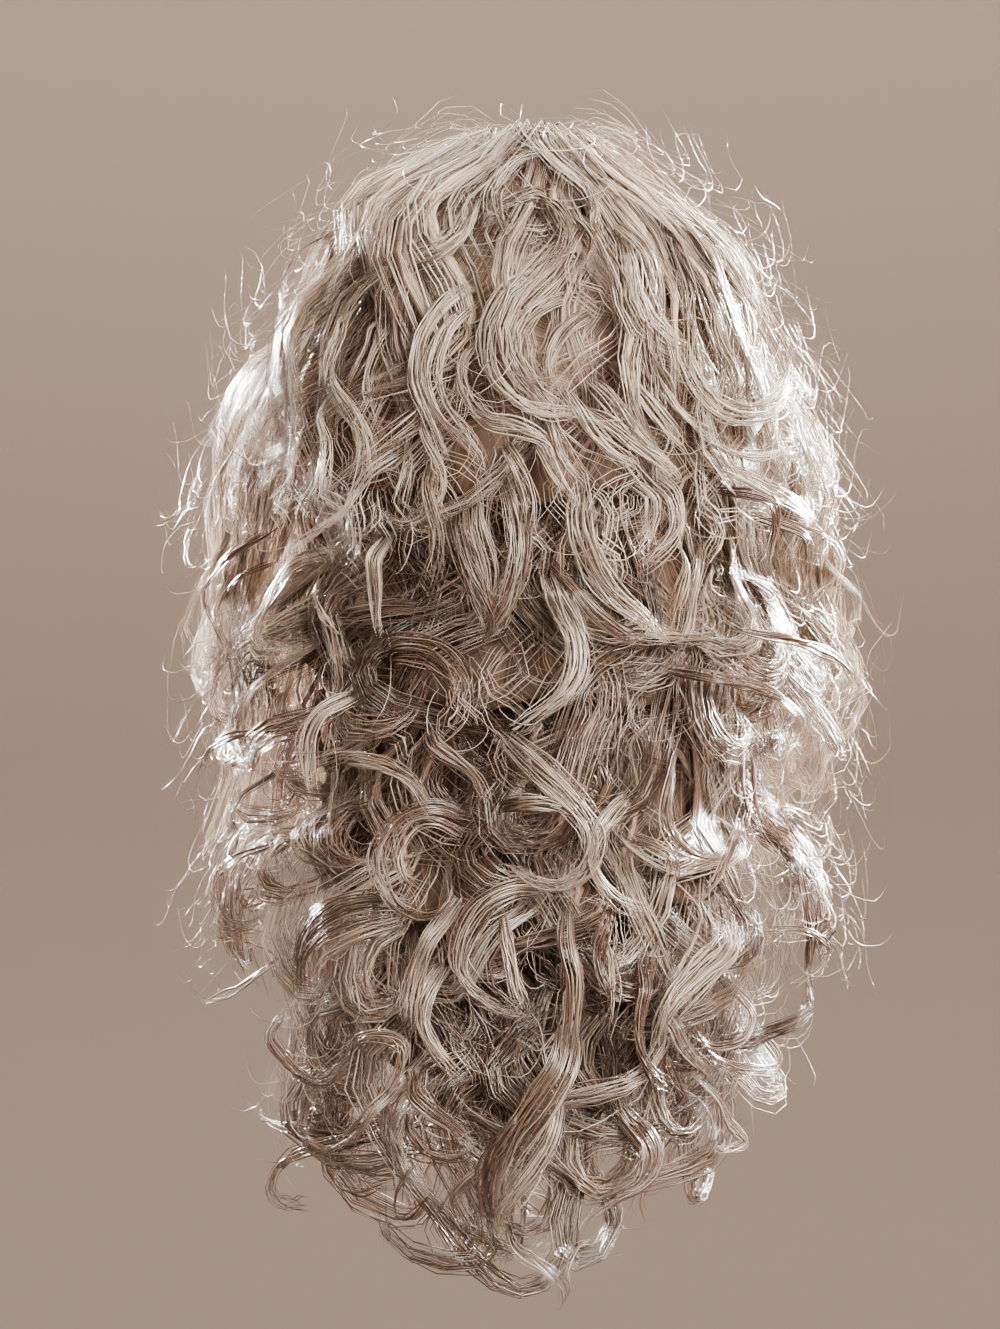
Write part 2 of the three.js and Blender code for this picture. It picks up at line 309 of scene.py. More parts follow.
@dataclass
class Studio:
    """A round sweep of plain warm paper, soft light from the front and strong light from behind."""

    floor_z: float = -1.4
    radius: float = 3.4
    fillet: float = 0.9
    fillet_steps: int = 12
    wall_top: float = 3.0
    sides: int = 96
    paper: Triple = (0.44, 0.37, 0.315)
    paper_rough: float = 0.9
    paper_sheen: float = 0.1
    ambient: Triple = (1.0, 0.965, 0.93)
    ambient_strength: float = 0.33
    look: str = "AgX - Medium High Contrast"
    lights: tuple[SoftBox, ...] = (
        SoftBox("key", (0.72, -0.98, 0.46), (0.06, -0.1, -0.14), 0.9, 0.8, 9.4, Lamp.WARM, 70.0, False),
        SoftBox("fill", (0.3, -2.4, 0.3), (0.0, -0.1, -0.2), 1.6, 1.4, 16.0, Lamp.SOFT),
        SoftBox(
            "back_left", (-0.7, 1.1, 0.05), (-0.175, 0.0, -0.17), 0.45, 0.3, 8.0, Lamp.CLEAR, 16.0, False
        ),
        SoftBox(
            "back_right", (0.9, 0.95, 0.22), (0.165, 0.0, -0.12), 0.45, 0.4, 12.5, Lamp.CLEAR, 17.0, False
        ),
        SoftBox("back_top", (0.0, 0.85, 1.25), (0.0, 0.0, 0.0), 1.2, 0.5, 36.0, Lamp.CREAM, 180.0, False),
        SoftBox.wash("wall_wash", 0, 1, 100.0, 180.0),
        SoftBox.wash("front_wash", 0, -1, 26.0),
        SoftBox.wash("left_wash", -1, 0, 14.0),
        SoftBox.wash("right_wash", 1, 0, 14.0),
    )

    def finish(self) -> bpy.types.Material:
        """The paper's plain matte finish.

        Returns:
            The material.
        """
        paper = bpy.data.materials.new("plain_paper")
        paper.use_nodes = True
        shader = paper.node_tree.nodes["Principled BSDF"]
        shader.inputs["Base Color"].default_value = (*self.paper, 1.0)
        shader.inputs["Roughness"].default_value = self.paper_rough
        shader.inputs["Specular IOR Level"].default_value = self.paper_sheen
        return paper

    def sweep(self) -> bpy.types.Object:
        """The paper: a round floor that turns up into a wall.

        Returns:
            The paper's object.
        """
        inner = self.radius - self.fillet
        profile = []
        for step in range(self.fillet_steps + 1):
            turn = math.radians(90.0 * step / self.fillet_steps)
            r, z = inner + self.fillet * math.sin(turn), self.floor_z + self.fillet * (1 - math.cos(turn))
            profile.append((r, z))
        profile.append((self.radius, self.wall_top))
        vertices = [(0.0, 0.0, self.floor_z)]
        faces = []
        for ring, (r, z) in enumerate(profile):
            for side in range(self.sides):
                turn = 2 * math.pi * side / self.sides
                vertices.append((r * math.sin(turn), r * math.cos(turn), z))
                after = (side + 1) % self.sides
                if ring == 0:
                    faces.append((0, 1 + after, 1 + side))
                else:
                    low, high = 1 + (ring - 1) * self.sides, 1 + ring * self.sides
                    faces.append((low + side, low + after, high + after, high + side))
        mesh = bpy.data.meshes.new("paper_sweep")
        mesh.from_pydata(vertices, [], faces)
        mesh.shade_smooth()
        mesh.materials.append(self.finish())
        sweep = bpy.data.objects.new("paper_sweep", mesh)
        bpy.context.scene.collection.objects.link(sweep)
        return sweep

    def make(self) -> None:
        """Builds the sweep, the lights and the ambient light."""
        sweep = self.sweep()
        spared = bpy.data.collections.new("paper_kept_even")
        spared.objects.link(sweep)
        spared.collection_objects[0].light_linking.link_state = "EXCLUDE"
        for light in self.lights:
            light.make(spared)
        world = bpy.data.worlds.new("soft_room")
        world.use_nodes = True
        background = world.node_tree.nodes["Background"]
        background.inputs["Color"].default_value = (*self.ambient, 1.0)
        background.inputs["Strength"].default_value = self.ambient_strength
        bpy.context.scene.world = world
        bpy.context.scene.view_settings.look = self.look


class Nodes:
    """A small helper that adds and joins the nodes of one tree."""

    def __init__(self, tree: bpy.types.NodeTree) -> None:
        """Starts on a tree."""
        self.tree = tree

    def feed(self, socket: Socket, value: object) -> None:
        """Joins an output to an input, or sets the input to a plain value.

        Args:
            socket: The input.
            value: The output to join, or the value.
        """
        if isinstance(value, Socket):
            self.tree.links.new(value, socket)
        else:
            socket.default_value = value

    def add(
        self, kind: str, inputs: dict[str | int, object] | None = None, **settings: object
    ) -> bpy.types.Node:
        """Adds a node, sets its properties and feeds its inputs.

        Args:
            kind: The node's type.
            inputs: What goes into the node's sockets, by their names or numbers.
            settings: The node's own properties.

        Returns:
            The node.
        """
        node = self.tree.nodes.new(kind)
        for name, value in settings.items():
            setattr(node, name, value)
        for name, value in (inputs or {}).items():
            self.feed(node.inputs[name], value)
        return node

    def math(self, operation: str, *values: object) -> Socket:
        """A Math node's result."""
        return self.add("ShaderNodeMath", dict(enumerate(values)), operation=operation).outputs[0]

    def vector(self, operation: str, *values: object) -> Socket:
        """A Vector Math node's vector result."""
        node = self.add("ShaderNodeVectorMath", dict(enumerate(values)), operation=operation)
        return node.outputs["Vector"]

    def scaled(self, vector: object, factor: object) -> Socket:
        """A vector times a number."""
        node = self.add("ShaderNodeVectorMath", {0: vector, "Scale": factor}, operation="SCALE")
        return node.outputs["Vector"]

    def ramped(self, inputs: dict[str, object]) -> Socket:
        """A value put through a smooth Map Range node."""
        return self.add("ShaderNodeMapRange", inputs, interpolation_type="SMOOTHSTEP").outputs[0]

    def attribute(self, name: str, kind: str) -> Socket:
        """A named attribute of the geometry."""
        node = self.add("GeometryNodeInputNamedAttribute", {"Name": name}, data_type=kind)
        return next(socket for socket in node.outputs if socket.enabled)

    def store(self, geometry: object, name: str, kind: str, domain: str, value: object) -> Socket:
        """Stores a named attribute.

        Args:
            geometry: What the attribute is stored on.
            name: The attribute's name.
            kind: Its data type.
            domain: Whether points or corners hold it.
            value: What is stored.

        Returns:
            The geometry with the attribute.
        """
        inputs = {"Geometry": geometry, "Name": name}
        node = self.add("GeometryNodeStoreNamedAttribute", inputs, data_type=kind, domain=domain)
        self.feed(next(socket for socket in node.inputs if socket.name == "Value" and socket.enabled), value)
        return node.outputs["Geometry"]

    def random(self, span: Span, key: object, seed: object) -> Socket:
        """A random number for each key.

        Args:
            span: The least and the most that it may be.
            key: What has a number of its own.
            seed: What sets these numbers apart from others.

        Returns:
            The number.
        """
        node = self.add("FunctionNodeRandomValue", data_type="FLOAT")
        shown = {socket.name: socket for socket in node.inputs if socket.enabled}
        for name, value in (("Min", span[0]), ("Max", span[1]), ("ID", key), ("Seed", seed)):
            self.feed(shown[name], value)
        return next(socket for socket in node.outputs if socket.enabled)


class FibreStreaks:
    """The colour of hair along and across a lock, shared by every hair finish."""

    NAME = "fibre_streaks"
    SCALE: tuple[tuple[float, Triple], ...] = (
        (0.00, (0.110, 0.070, 0.049)),
        (0.22, (0.265, 0.165, 0.124)),
        (0.42, (0.350, 0.256, 0.198)),
        (0.60, (0.475, 0.378, 0.300)),
        (0.80, (0.640, 0.540, 0.448)),
        (1.00, (0.860, 0.790, 0.715)),
    )
    INPUTS = ("Streaks", "Contrast", "Root Shade", "Tip Shade", "Gloss")
    WAVES_ALONG = 2.2
    DETAIL = 3.0
    TONE_SHIFT = 0.55
    GLOSS_SHIFT = 0.25
    ROOT_END, TIP_START = 0.35, 0.6

    def group(self) -> bpy.types.NodeTree:
        """The shader node group, made once.

        Returns:
            The group, which puts out a colour and a roughness.
        """
        made = bpy.data.node_groups.get(self.NAME)
        if made:
            return made
        tree = bpy.data.node_groups.new(self.NAME, "ShaderNodeTree")
        face = tree.interface
        face.new_socket("Map", in_out="INPUT", socket_type="NodeSocketVector")
        for name in self.INPUTS:
            face.new_socket(name, in_out="INPUT", socket_type="NodeSocketFloat")
        face.new_socket("Color", in_out="OUTPUT", socket_type="NodeSocketColor")
        face.new_socket("Roughness", in_out="OUTPUT", socket_type="NodeSocketFloat")
        nodes = Nodes(tree)
        given = nodes.add("NodeGroupInput").outputs
        put = nodes.add("NodeGroupOutput").inputs
        split = nodes.add("ShaderNodeSeparateXYZ", {0: given["Map"]})
        across, along = split.outputs["X"], split.outputs["Y"]
        run = {
            "X": nodes.math("MULTIPLY", across, given["Streaks"]),
            "Y": nodes.math("MULTIPLY", along, self.WAVES_ALONG),
        }
        place = nodes.add("ShaderNodeCombineXYZ", run).outputs[0]
        fine = {"Vector": place, "Scale": 1.0, "Detail": self.DETAIL}
        noise = nodes.add("ShaderNodeTexNoise", fine, noise_dimensions="2D")
        streak = nodes.math("SUBTRACT", noise.outputs["Fac"], 0.5)
        shift = nodes.math("MULTIPLY", given["Contrast"], self.TONE_SHIFT)
        ramp = nodes.add("ShaderNodeValToRGB", {"Fac": nodes.math("MULTIPLY_ADD", streak, shift, across)})
        stops = ramp.color_ramp.elements
        while len(stops) < len(self.SCALE):
            stops.new(0.5)
        for stop, (position, colour) in zip(stops, self.SCALE):
            stop.position = position
            stop.color = (*colour, 1.0)
        # Root Shade and Tip Shade scale the colour near a lock's root and tip: partly the hair's own darker
        # roots, partly painted shade on the lower rows.
        root = {"From Min": 0.0, "From Max": self.ROOT_END, "To Min": given["Root Shade"], "To Max": 1.0}
        tip = {"From Min": self.TIP_START, "From Max": 1.0, "To Min": 1.0, "To Max": given["Tip Shade"]}
        rise, fall = (nodes.ramped({"Value": along, **end}) for end in (root, tip))
        shade = nodes.math("MULTIPLY", rise, fall)
        light = nodes.math("MULTIPLY_ADD", streak, given["Contrast"], shade)
        nodes.feed(put["Color"], nodes.scaled(ramp.outputs["Color"], light))
        nodes.feed(put["Roughness"], nodes.math("MULTIPLY_ADD", streak, self.GLOSS_SHIFT, given["Gloss"]))
        return tree


@dataclass(frozen=True)
class HairFinish:
    """Glossy fibre of one row of hair, or the matte hair under it."""

    slot: str
    # The root and tip shades are partly the hair's own darker roots, partly painted shade on the lower rows.
    root_shade: float = 0.8
    tip_shade: float = 0.9
    streaks: float = 240.0
    contrast: float = 0.95
    glow: float = 0.3
    rough: float = 0.25
    sheen: float = 1.0
    ior: float = 1.75
    under: bool = False

    def matte(self) -> HairFinish:
        """The finish of the row's under-hair and cores."""
        return replace(self, under=True, rough=0.7, sheen=0.2, streaks=260.0, contrast=2.2)

    def material(self) -> bpy.types.Material:
        """The finish as a material, made once for its slot.

        Returns:
            The material.
        """
        name = f"{self.slot}_{'under_hair' if self.under else 'fibre'}"
        made = bpy.data.materials.get(name)
        if made:
            return made
        made = bpy.data.materials.new(name)
        made.use_nodes = True
        nodes = Nodes(made.node_tree)
        shader = made.node_tree.nodes["Principled BSDF"]
        values = (self.streaks, self.contrast, self.root_shade, self.tip_shade, self.rough)
        inputs = dict(zip(FibreStreaks.INPUTS, values))
        inputs["Map"] = nodes.add("ShaderNodeUVMap", uv_map=UV_NAME).outputs[0]
        streaks = nodes.add("ShaderNodeGroup", inputs, node_tree=FibreStreaks().group())
        nodes.feed(shader.inputs["Base Color"], streaks.outputs["Color"])
        nodes.feed(shader.inputs["Roughness"], streaks.outputs["Roughness"])
        shader.inputs["Specular IOR Level"].default_value = self.sheen
        shader.inputs["IOR"].default_value = self.ior
        if self.under:
            return made
        through = nodes.add("ShaderNodeBsdfTranslucent", {"Color": streaks.outputs["Color"]})
        mixed = {"Fac": self.glow, 1: shader.outputs[0], 2: through.outputs[0]}
        mix = nodes.add("ShaderNodeMixShader", mixed)
        nodes.feed(made.node_tree.nodes["Material Output"].inputs["Surface"], mix.outputs[0])
        return made


@dataclass(frozen=True)
class NetFinish:
    """Matte knitted net of the cap."""

    thread: Triple = (0.30, 0.23, 0.175)
    gap: Triple = (0.10, 0.072, 0.052)
    mesh_per_metre: float = 420.0
    uneven: float = 0.35
    thread_edge: Span = (0.06, 0.24)
    rough: float = 0.85
    bump: float = 0.6
    bump_height: float = 0.6 * MM

    def material(self) -> bpy.types.Material:
        """The finish as a material.

        Returns:
            The material.
        """
        made = bpy.data.materials.new("cap_net_knit")
        made.use_nodes = True
        nodes = Nodes(made.node_tree)
        shader = made.node_tree.nodes["Principled BSDF"]
        place = nodes.add("ShaderNodeTexCoord").outputs["Object"]
        knit = {"Vector": place, "Scale": self.mesh_per_metre, "Randomness": self.uneven}
        cells = nodes.add("ShaderNodeTexVoronoi", knit, feature="DISTANCE_TO_EDGE")
        low, high = self.thread_edge
        edge = nodes.ramped({"Value": cells.outputs["Distance"], "From Min": low, "From Max": high})
        colours = {"Factor": edge, "A": (*self.thread, 1.0), "B": (*self.gap, 1.0)}
        mix = nodes.add("ShaderNodeMix", colours, data_type="RGBA")
        nodes.feed(shader.inputs["Base Color"], mix.outputs["Result"])
        shader.inputs["Roughness"].default_value = self.rough
        relief = {"Strength": self.bump, "Distance": self.bump_height, "Height": edge}
        bump = nodes.add("ShaderNodeBump", relief, invert=True)
        nodes.feed(shader.inputs["Normal"], bump.outputs[0])
        return made


@dataclass
class StrandTree:
    """Geometry Nodes that lay fine closed strands along the guides of the locks.

    A guide is a run of edges. Its points hold the lock's half width and half thickness as vectors,
    its tone, how far along the lock they are, a strand's radius there, and the number of strands.
    """

    name: str = "lay_strands"
    seed: int = 11
    stray: float = 2.6 * MM
    stray_scale: float = 46.0
    clump_scale: float = 17.0
    flatness: float = 0.34

    FLOATS = ("Stray", "Stray Scale", "Clump Scale", "Flatness", "Root Trim")
    KEPT_ON_THE_WAY = ("across", "through", "tone", "strand_tone", "along", "girth", "strands", "rim")
    SIDE_CHANCE = (-0.3, 0.3)
    DEPTHS = (-0.35, 1.0)
    TIP_STRAY = 5.0
    CLUMP = 3.0
    CLUMP_KEY, STRAND_KEY = 2.37, 1.713
    OWN_STRAY = (0.1, 0.9)
    TONE_CHANCE = 0.42
    SIZES, SIZE_POWER = (0.4, 1.0), 1.6
    ENDS = (0.8, 1.0)
    CORNERS = 3
    ROOT_TAPER, ROOT_SIZE = 9.0, 0.12
    TIP_TAPER, TIP_SIZE = 3.2, 0.1
    RIM_TONE = 0.014

    def build(self) -> bpy.types.NodeTree:
        """The node tree, made once.

        Returns:
            The tree, with the strands' sizes, seed and material as its inputs.
        """
        made = bpy.data.node_groups.get(self.name)
        if made:
            return made
        tree = bpy.data.node_groups.new(self.name, "GeometryNodeTree")
        floats = dict.fromkeys(self.FLOATS, "Float")
        kinds = {"Guides": "Geometry", "Seed": "Int", **floats, "Fibre": "Material"}
        for name, kind in kinds.items():
            tree.interface.new_socket(name, in_out="INPUT", socket_type=f"NodeSocket{kind}")
        tree.interface.new_socket("Strands", in_out="OUTPUT", socket_type="NodeSocketGeometry")
        nodes = Nodes(tree)
        given = nodes.add("NodeGroupInput").outputs
        put = nodes.add("NodeGroupOutput").inputs
        strands = self.tubes(nodes, self.lines(nodes, given), self.blade(nodes, given["Flatness"]))
        rounded = nodes.add("GeometryNodeSetShadeSmooth", {"Geometry": strands}).outputs[0]
        real = nodes.add("GeometryNodeRealizeInstances", {"Geometry": rounded}).outputs[0]
        dressed = nodes.add("GeometryNodeSetMaterial", {"Geometry": real, "Material": given["Fibre"]})
        nodes.feed(put["Strands"], dressed.outputs[0])
        return tree

    def lines(self, nodes: Nodes, given: bpy.types.NodeOutputs) -> Socket:
        """The middle lines of the strands, spread over the width and depth of their locks.

        Args:
            nodes: The tree's helper.
            given: The tree's inputs.

        Returns:
            The lines, which hold each strand's tone and radius and face out of the hair.
        """
        curves = nodes.add("GeometryNodeMeshToCurve", {"Mesh": given["Guides"]}).outputs["Curve"]
        count = nodes.attribute("strands", "INT")
        each = {"Geometry": curves, "Amount": count}
        copies = nodes.add("GeometryNodeDuplicateElements", each, domain="SPLINE")
        key = nodes.add("GeometryNodeCurveOfPoint").outputs["Curve Index"]

        def chance(span: Span, step: int) -> Socket:
            """A random number for each strand, from the seed moved on by a step."""
            return nodes.random(span, key, nodes.math("ADD", given["Seed"], step))

        place = nodes.math("DIVIDE", nodes.math("ADD", copies.outputs["Duplicate Index"], 0.5), count)
        side = nodes.math("MULTIPLY_ADD", place, 2.0, -1.0)
        side = nodes.math("ADD", side, chance(self.SIDE_CHANCE, 1))
        left = nodes.math("SUBTRACT", 1.0, nodes.math("MULTIPLY", side, side))
        room = nodes.math("SQRT", nodes.math("MAXIMUM", left, 0.0))
        depth = nodes.math("MULTIPLY", chance(self.DEPTHS, 2), room)
        through = nodes.attribute("through", "FLOAT_VECTOR")
        wide = nodes.scaled(nodes.attribute("across", "FLOAT_VECTOR"), side)
        laid = nodes.vector("ADD", wide, nodes.scaled(through, depth))
        along = nodes.attribute("along", "FLOAT")
        reach = nodes.math("MULTIPLY", given["Stray"], nodes.math("MULTIPLY_ADD", along, self.TIP_STRAY, 1.0))
        clump = nodes.math("FLOOR", nodes.math("DIVIDE", key, self.CLUMP))
        shared = self.wander(nodes, nodes.math("MULTIPLY", clump, self.CLUMP_KEY), given["Clump Scale"])
        alone = self.wander(nodes, nodes.math("MULTIPLY", key, self.STRAND_KEY), given["Stray Scale"])
        own = nodes.math("MULTIPLY", reach, chance(self.OWN_STRAY, 3))
        strayed = nodes.vector("ADD", nodes.scaled(shared, reach), nodes.scaled(alone, own))
        move = {"Geometry": copies.outputs["Geometry"], "Offset": nodes.vector("ADD", laid, strayed)}
        moved = nodes.add("GeometryNodeSetPosition", move).outputs[0]
        odd = chance((-1.0, 1.0), 4)
        uneven = nodes.math("MULTIPLY", odd, nodes.math("ABSOLUTE", odd))
        tone = nodes.math("MULTIPLY_ADD", uneven, self.TONE_CHANCE, nodes.attribute("tone", "FLOAT"))
        toned = nodes.store(moved, "strand_tone", "FLOAT", "POINT", tone)
        size = nodes.math("POWER", chance(self.SIZES, 5), self.SIZE_POWER)
        girth = nodes.math("MULTIPLY", nodes.attribute("girth", "FLOAT"), size)
        girthed = nodes.store(toned, "girth", "FLOAT", "POINT", girth)
        start = nodes.math("MULTIPLY", chance((0.0, 1.0), 7), given["Root Trim"])
        ends = {"Curve": girthed, "Start": start, "End": chance(self.ENDS, 6)}
        trimmed = nodes.add("GeometryNodeTrimCurve", ends, mode="FACTOR").outputs[0]
        face = {"Curve": trimmed, "Normal": through}
        return nodes.add("GeometryNodeSetCurveNormal", face, mode="FREE").outputs[0]

    def blade(self, nodes: Nodes, flatness: Socket) -> Socket:
        """A strand's flattened section, at radius one.

        Args:
            nodes: The tree's helper.
            flatness: The section's thickness as a share of its width.

        Returns:
            The section, whose corners hold how far to the side they lie.
        """
        circle = {"Resolution": self.CORNERS, "Radius": 1.0}
        ring = nodes.add("GeometryNodeCurvePrimitiveCircle", circle, mode="RADIUS").outputs["Curve"]
        position = nodes.add("GeometryNodeInputPosition").outputs[0]
        corner = nodes.add("ShaderNodeSeparateXYZ", {0: position}).outputs
        squeezed = {"X": nodes.math("MULTIPLY", corner["X"], flatness), "Y": corner["Y"]}
        flat = nodes.add("ShaderNodeCombineXYZ", squeezed).outputs[0]
        rimmed = nodes.store(ring, "rim", "FLOAT", "POINT", corner["Y"])
        return nodes.add("GeometryNodeSetPosition", {"Geometry": rimmed, "Position": flat}).outputs[0]

    def tubes(self, nodes: Nodes, lines: Socket, blade: Socket) -> Socket:
        """The strands as closed tubes that taper at both ends.

        Args:
            nodes: The tree's helper.
            lines: The strands' middle lines.
            blade: Their section.

        Returns:
            The tubes, with each corner's place on the colour map.
        """
        way = nodes.add("GeometryNodeSplineParameter").outputs["Factor"]
        left = nodes.math("SUBTRACT", 1.0, way)
        into = nodes.math("MINIMUM", nodes.math("MULTIPLY_ADD", way, self.ROOT_TAPER, self.ROOT_SIZE), 1.0)
        out = nodes.math("MINIMUM", nodes.math("MULTIPLY_ADD", left, self.TIP_TAPER, self.TIP_SIZE), 1.0)
        radius = nodes.math("MULTIPLY", nodes.attribute("girth", "FLOAT"), nodes.math("MULTIPLY", into, out))
        tube = {"Curve": lines, "Profile Curve": blade, "Scale": radius, "Fill Caps": True}
        made = nodes.add("GeometryNodeCurveToMesh", tube).outputs[0]
        shift = nodes.math("MULTIPLY", nodes.attribute("rim", "FLOAT"), self.RIM_TONE)
        tone = nodes.math("ADD", nodes.attribute("strand_tone", "FLOAT"), shift)
        place = {"X": tone, "Y": nodes.attribute("along", "FLOAT")}
        mapped = nodes.add("ShaderNodeCombineXYZ", place).outputs[0]
        made = nodes.store(made, UV_NAME, "FLOAT2", "CORNER", mapped)
        for name in self.KEPT_ON_THE_WAY:
            made = nodes.add("GeometryNodeRemoveAttribute", {"Geometry": made, "Name": name}).outputs[0]
        return made

    @staticmethod
    def wander(nodes: Nodes, key: Socket, scale: Socket) -> Socket:
        """A smooth drift in all directions along a strand.

        Args:
            nodes: The tree's helper.
            key: What sets one strand's drift apart from another's.
            scale: How many turns the drift takes in a metre.

        Returns:
            The drift as a vector.
        """
        position = nodes.add("GeometryNodeInputPosition").outputs[0]
        drift = {"Vector": position, "W": key, "Scale": scale, "Detail": 1.0}
        noise = nodes.add("ShaderNodeTexNoise", drift, noise_dimensions="4D")
        return nodes.vector("SUBTRACT", noise.outputs["Color"], (0.5, 0.5, 0.5))

    def lay(
        self, name: str, guides: Guides, fibre: bpy.types.Material, seed: int, trim: float = 0.12
    ) -> bpy.types.Object:
        """Lays the strands of one row and returns them as a plain mesh object.

        Args:
            name: The new object's name.
            guides: The row's guides.
            fibre: The material of the strands.
            seed: What sets this row's chances apart from another row's.
            trim: The most that a strand may start late, as a share of its guide.

        Returns:
            The strands.
        """
        tree = self.build()
        holder = bpy.data.objects.new(f"{name}_guides", guides.mesh(f"{name}_guides"))
        bpy.context.scene.collection.objects.link(holder)
        modifier = holder.modifiers.new("strands", "NODES")
        modifier.node_group = tree
        sizes = (self.stray, self.stray_scale, self.clump_scale, self.flatness, trim)
        values = {"Seed": self.seed + seed, **dict(zip(self.FLOATS, sizes)), "Fibre": fibre}
        for item in tree.interface.items_tree:
            if item.in_out == "INPUT" and item.name in values:
                modifier[item.identifier] = values[item.name]
        depsgraph = bpy.context.evaluated_depsgraph_get()
        mesh = bpy.data.meshes.new_from_object(holder.evaluated_get(depsgraph))
        holder.modifiers.remove(modifier)
        bpy.data.objects.remove(holder)
        mesh.name = name
        strands = bpy.data.objects.new(name, mesh)
        bpy.context.scene.collection.objects.link(strands)
        return strands


@dataclass
class Guides:
    """Runs of points that strands follow, all with the same number of points, in millimetres."""

    centre: Array
    across: Array
    through: Array
    tone: Array
    girth: Array
    strands: Array
    along: Array

    def mesh(self, name: str) -> bpy.types.Mesh:
        """The guides as a mesh of edges with the attributes that the strands read.

        Args:
            name: The mesh's name.

        Returns:
            The mesh, in metres.
        """
        runs, points = self.centre.shape[:2]
        mesh = bpy.data.meshes.new(name)
        first = np.arange(runs)[:, None] * points + np.arange(points - 1)[None, :]
        edges = np.stack([first, first + 1], axis=-1).reshape(-1, 2)
        mesh.vertices.add(runs * points)
        mesh.vertices.foreach_set("co", (self.centre * MM).astype(np.float32).ravel())
        mesh.edges.add(len(edges))
        mesh.edges.foreach_set("vertices", edges.astype(np.int32).ravel())
        for title, kind, values in (
            ("across", "FLOAT_VECTOR", self.across * MM),
            ("through", "FLOAT_VECTOR", self.through * MM),
            ("tone", "FLOAT", np.repeat(self.tone, points)),
            ("along", "FLOAT", self.along),
            ("girth", "FLOAT", self.girth * MM),
            ("strands", "INT", np.repeat(self.strands, points)),
        ):
            layer = mesh.attributes.new(title, kind, "POINT")
            slot = "vector" if kind == "FLOAT_VECTOR" else "value"
            layer.data.foreach_set(slot, values.astype(np.int32 if kind == "INT" else np.float32).ravel())
        mesh.update()
        return mesh


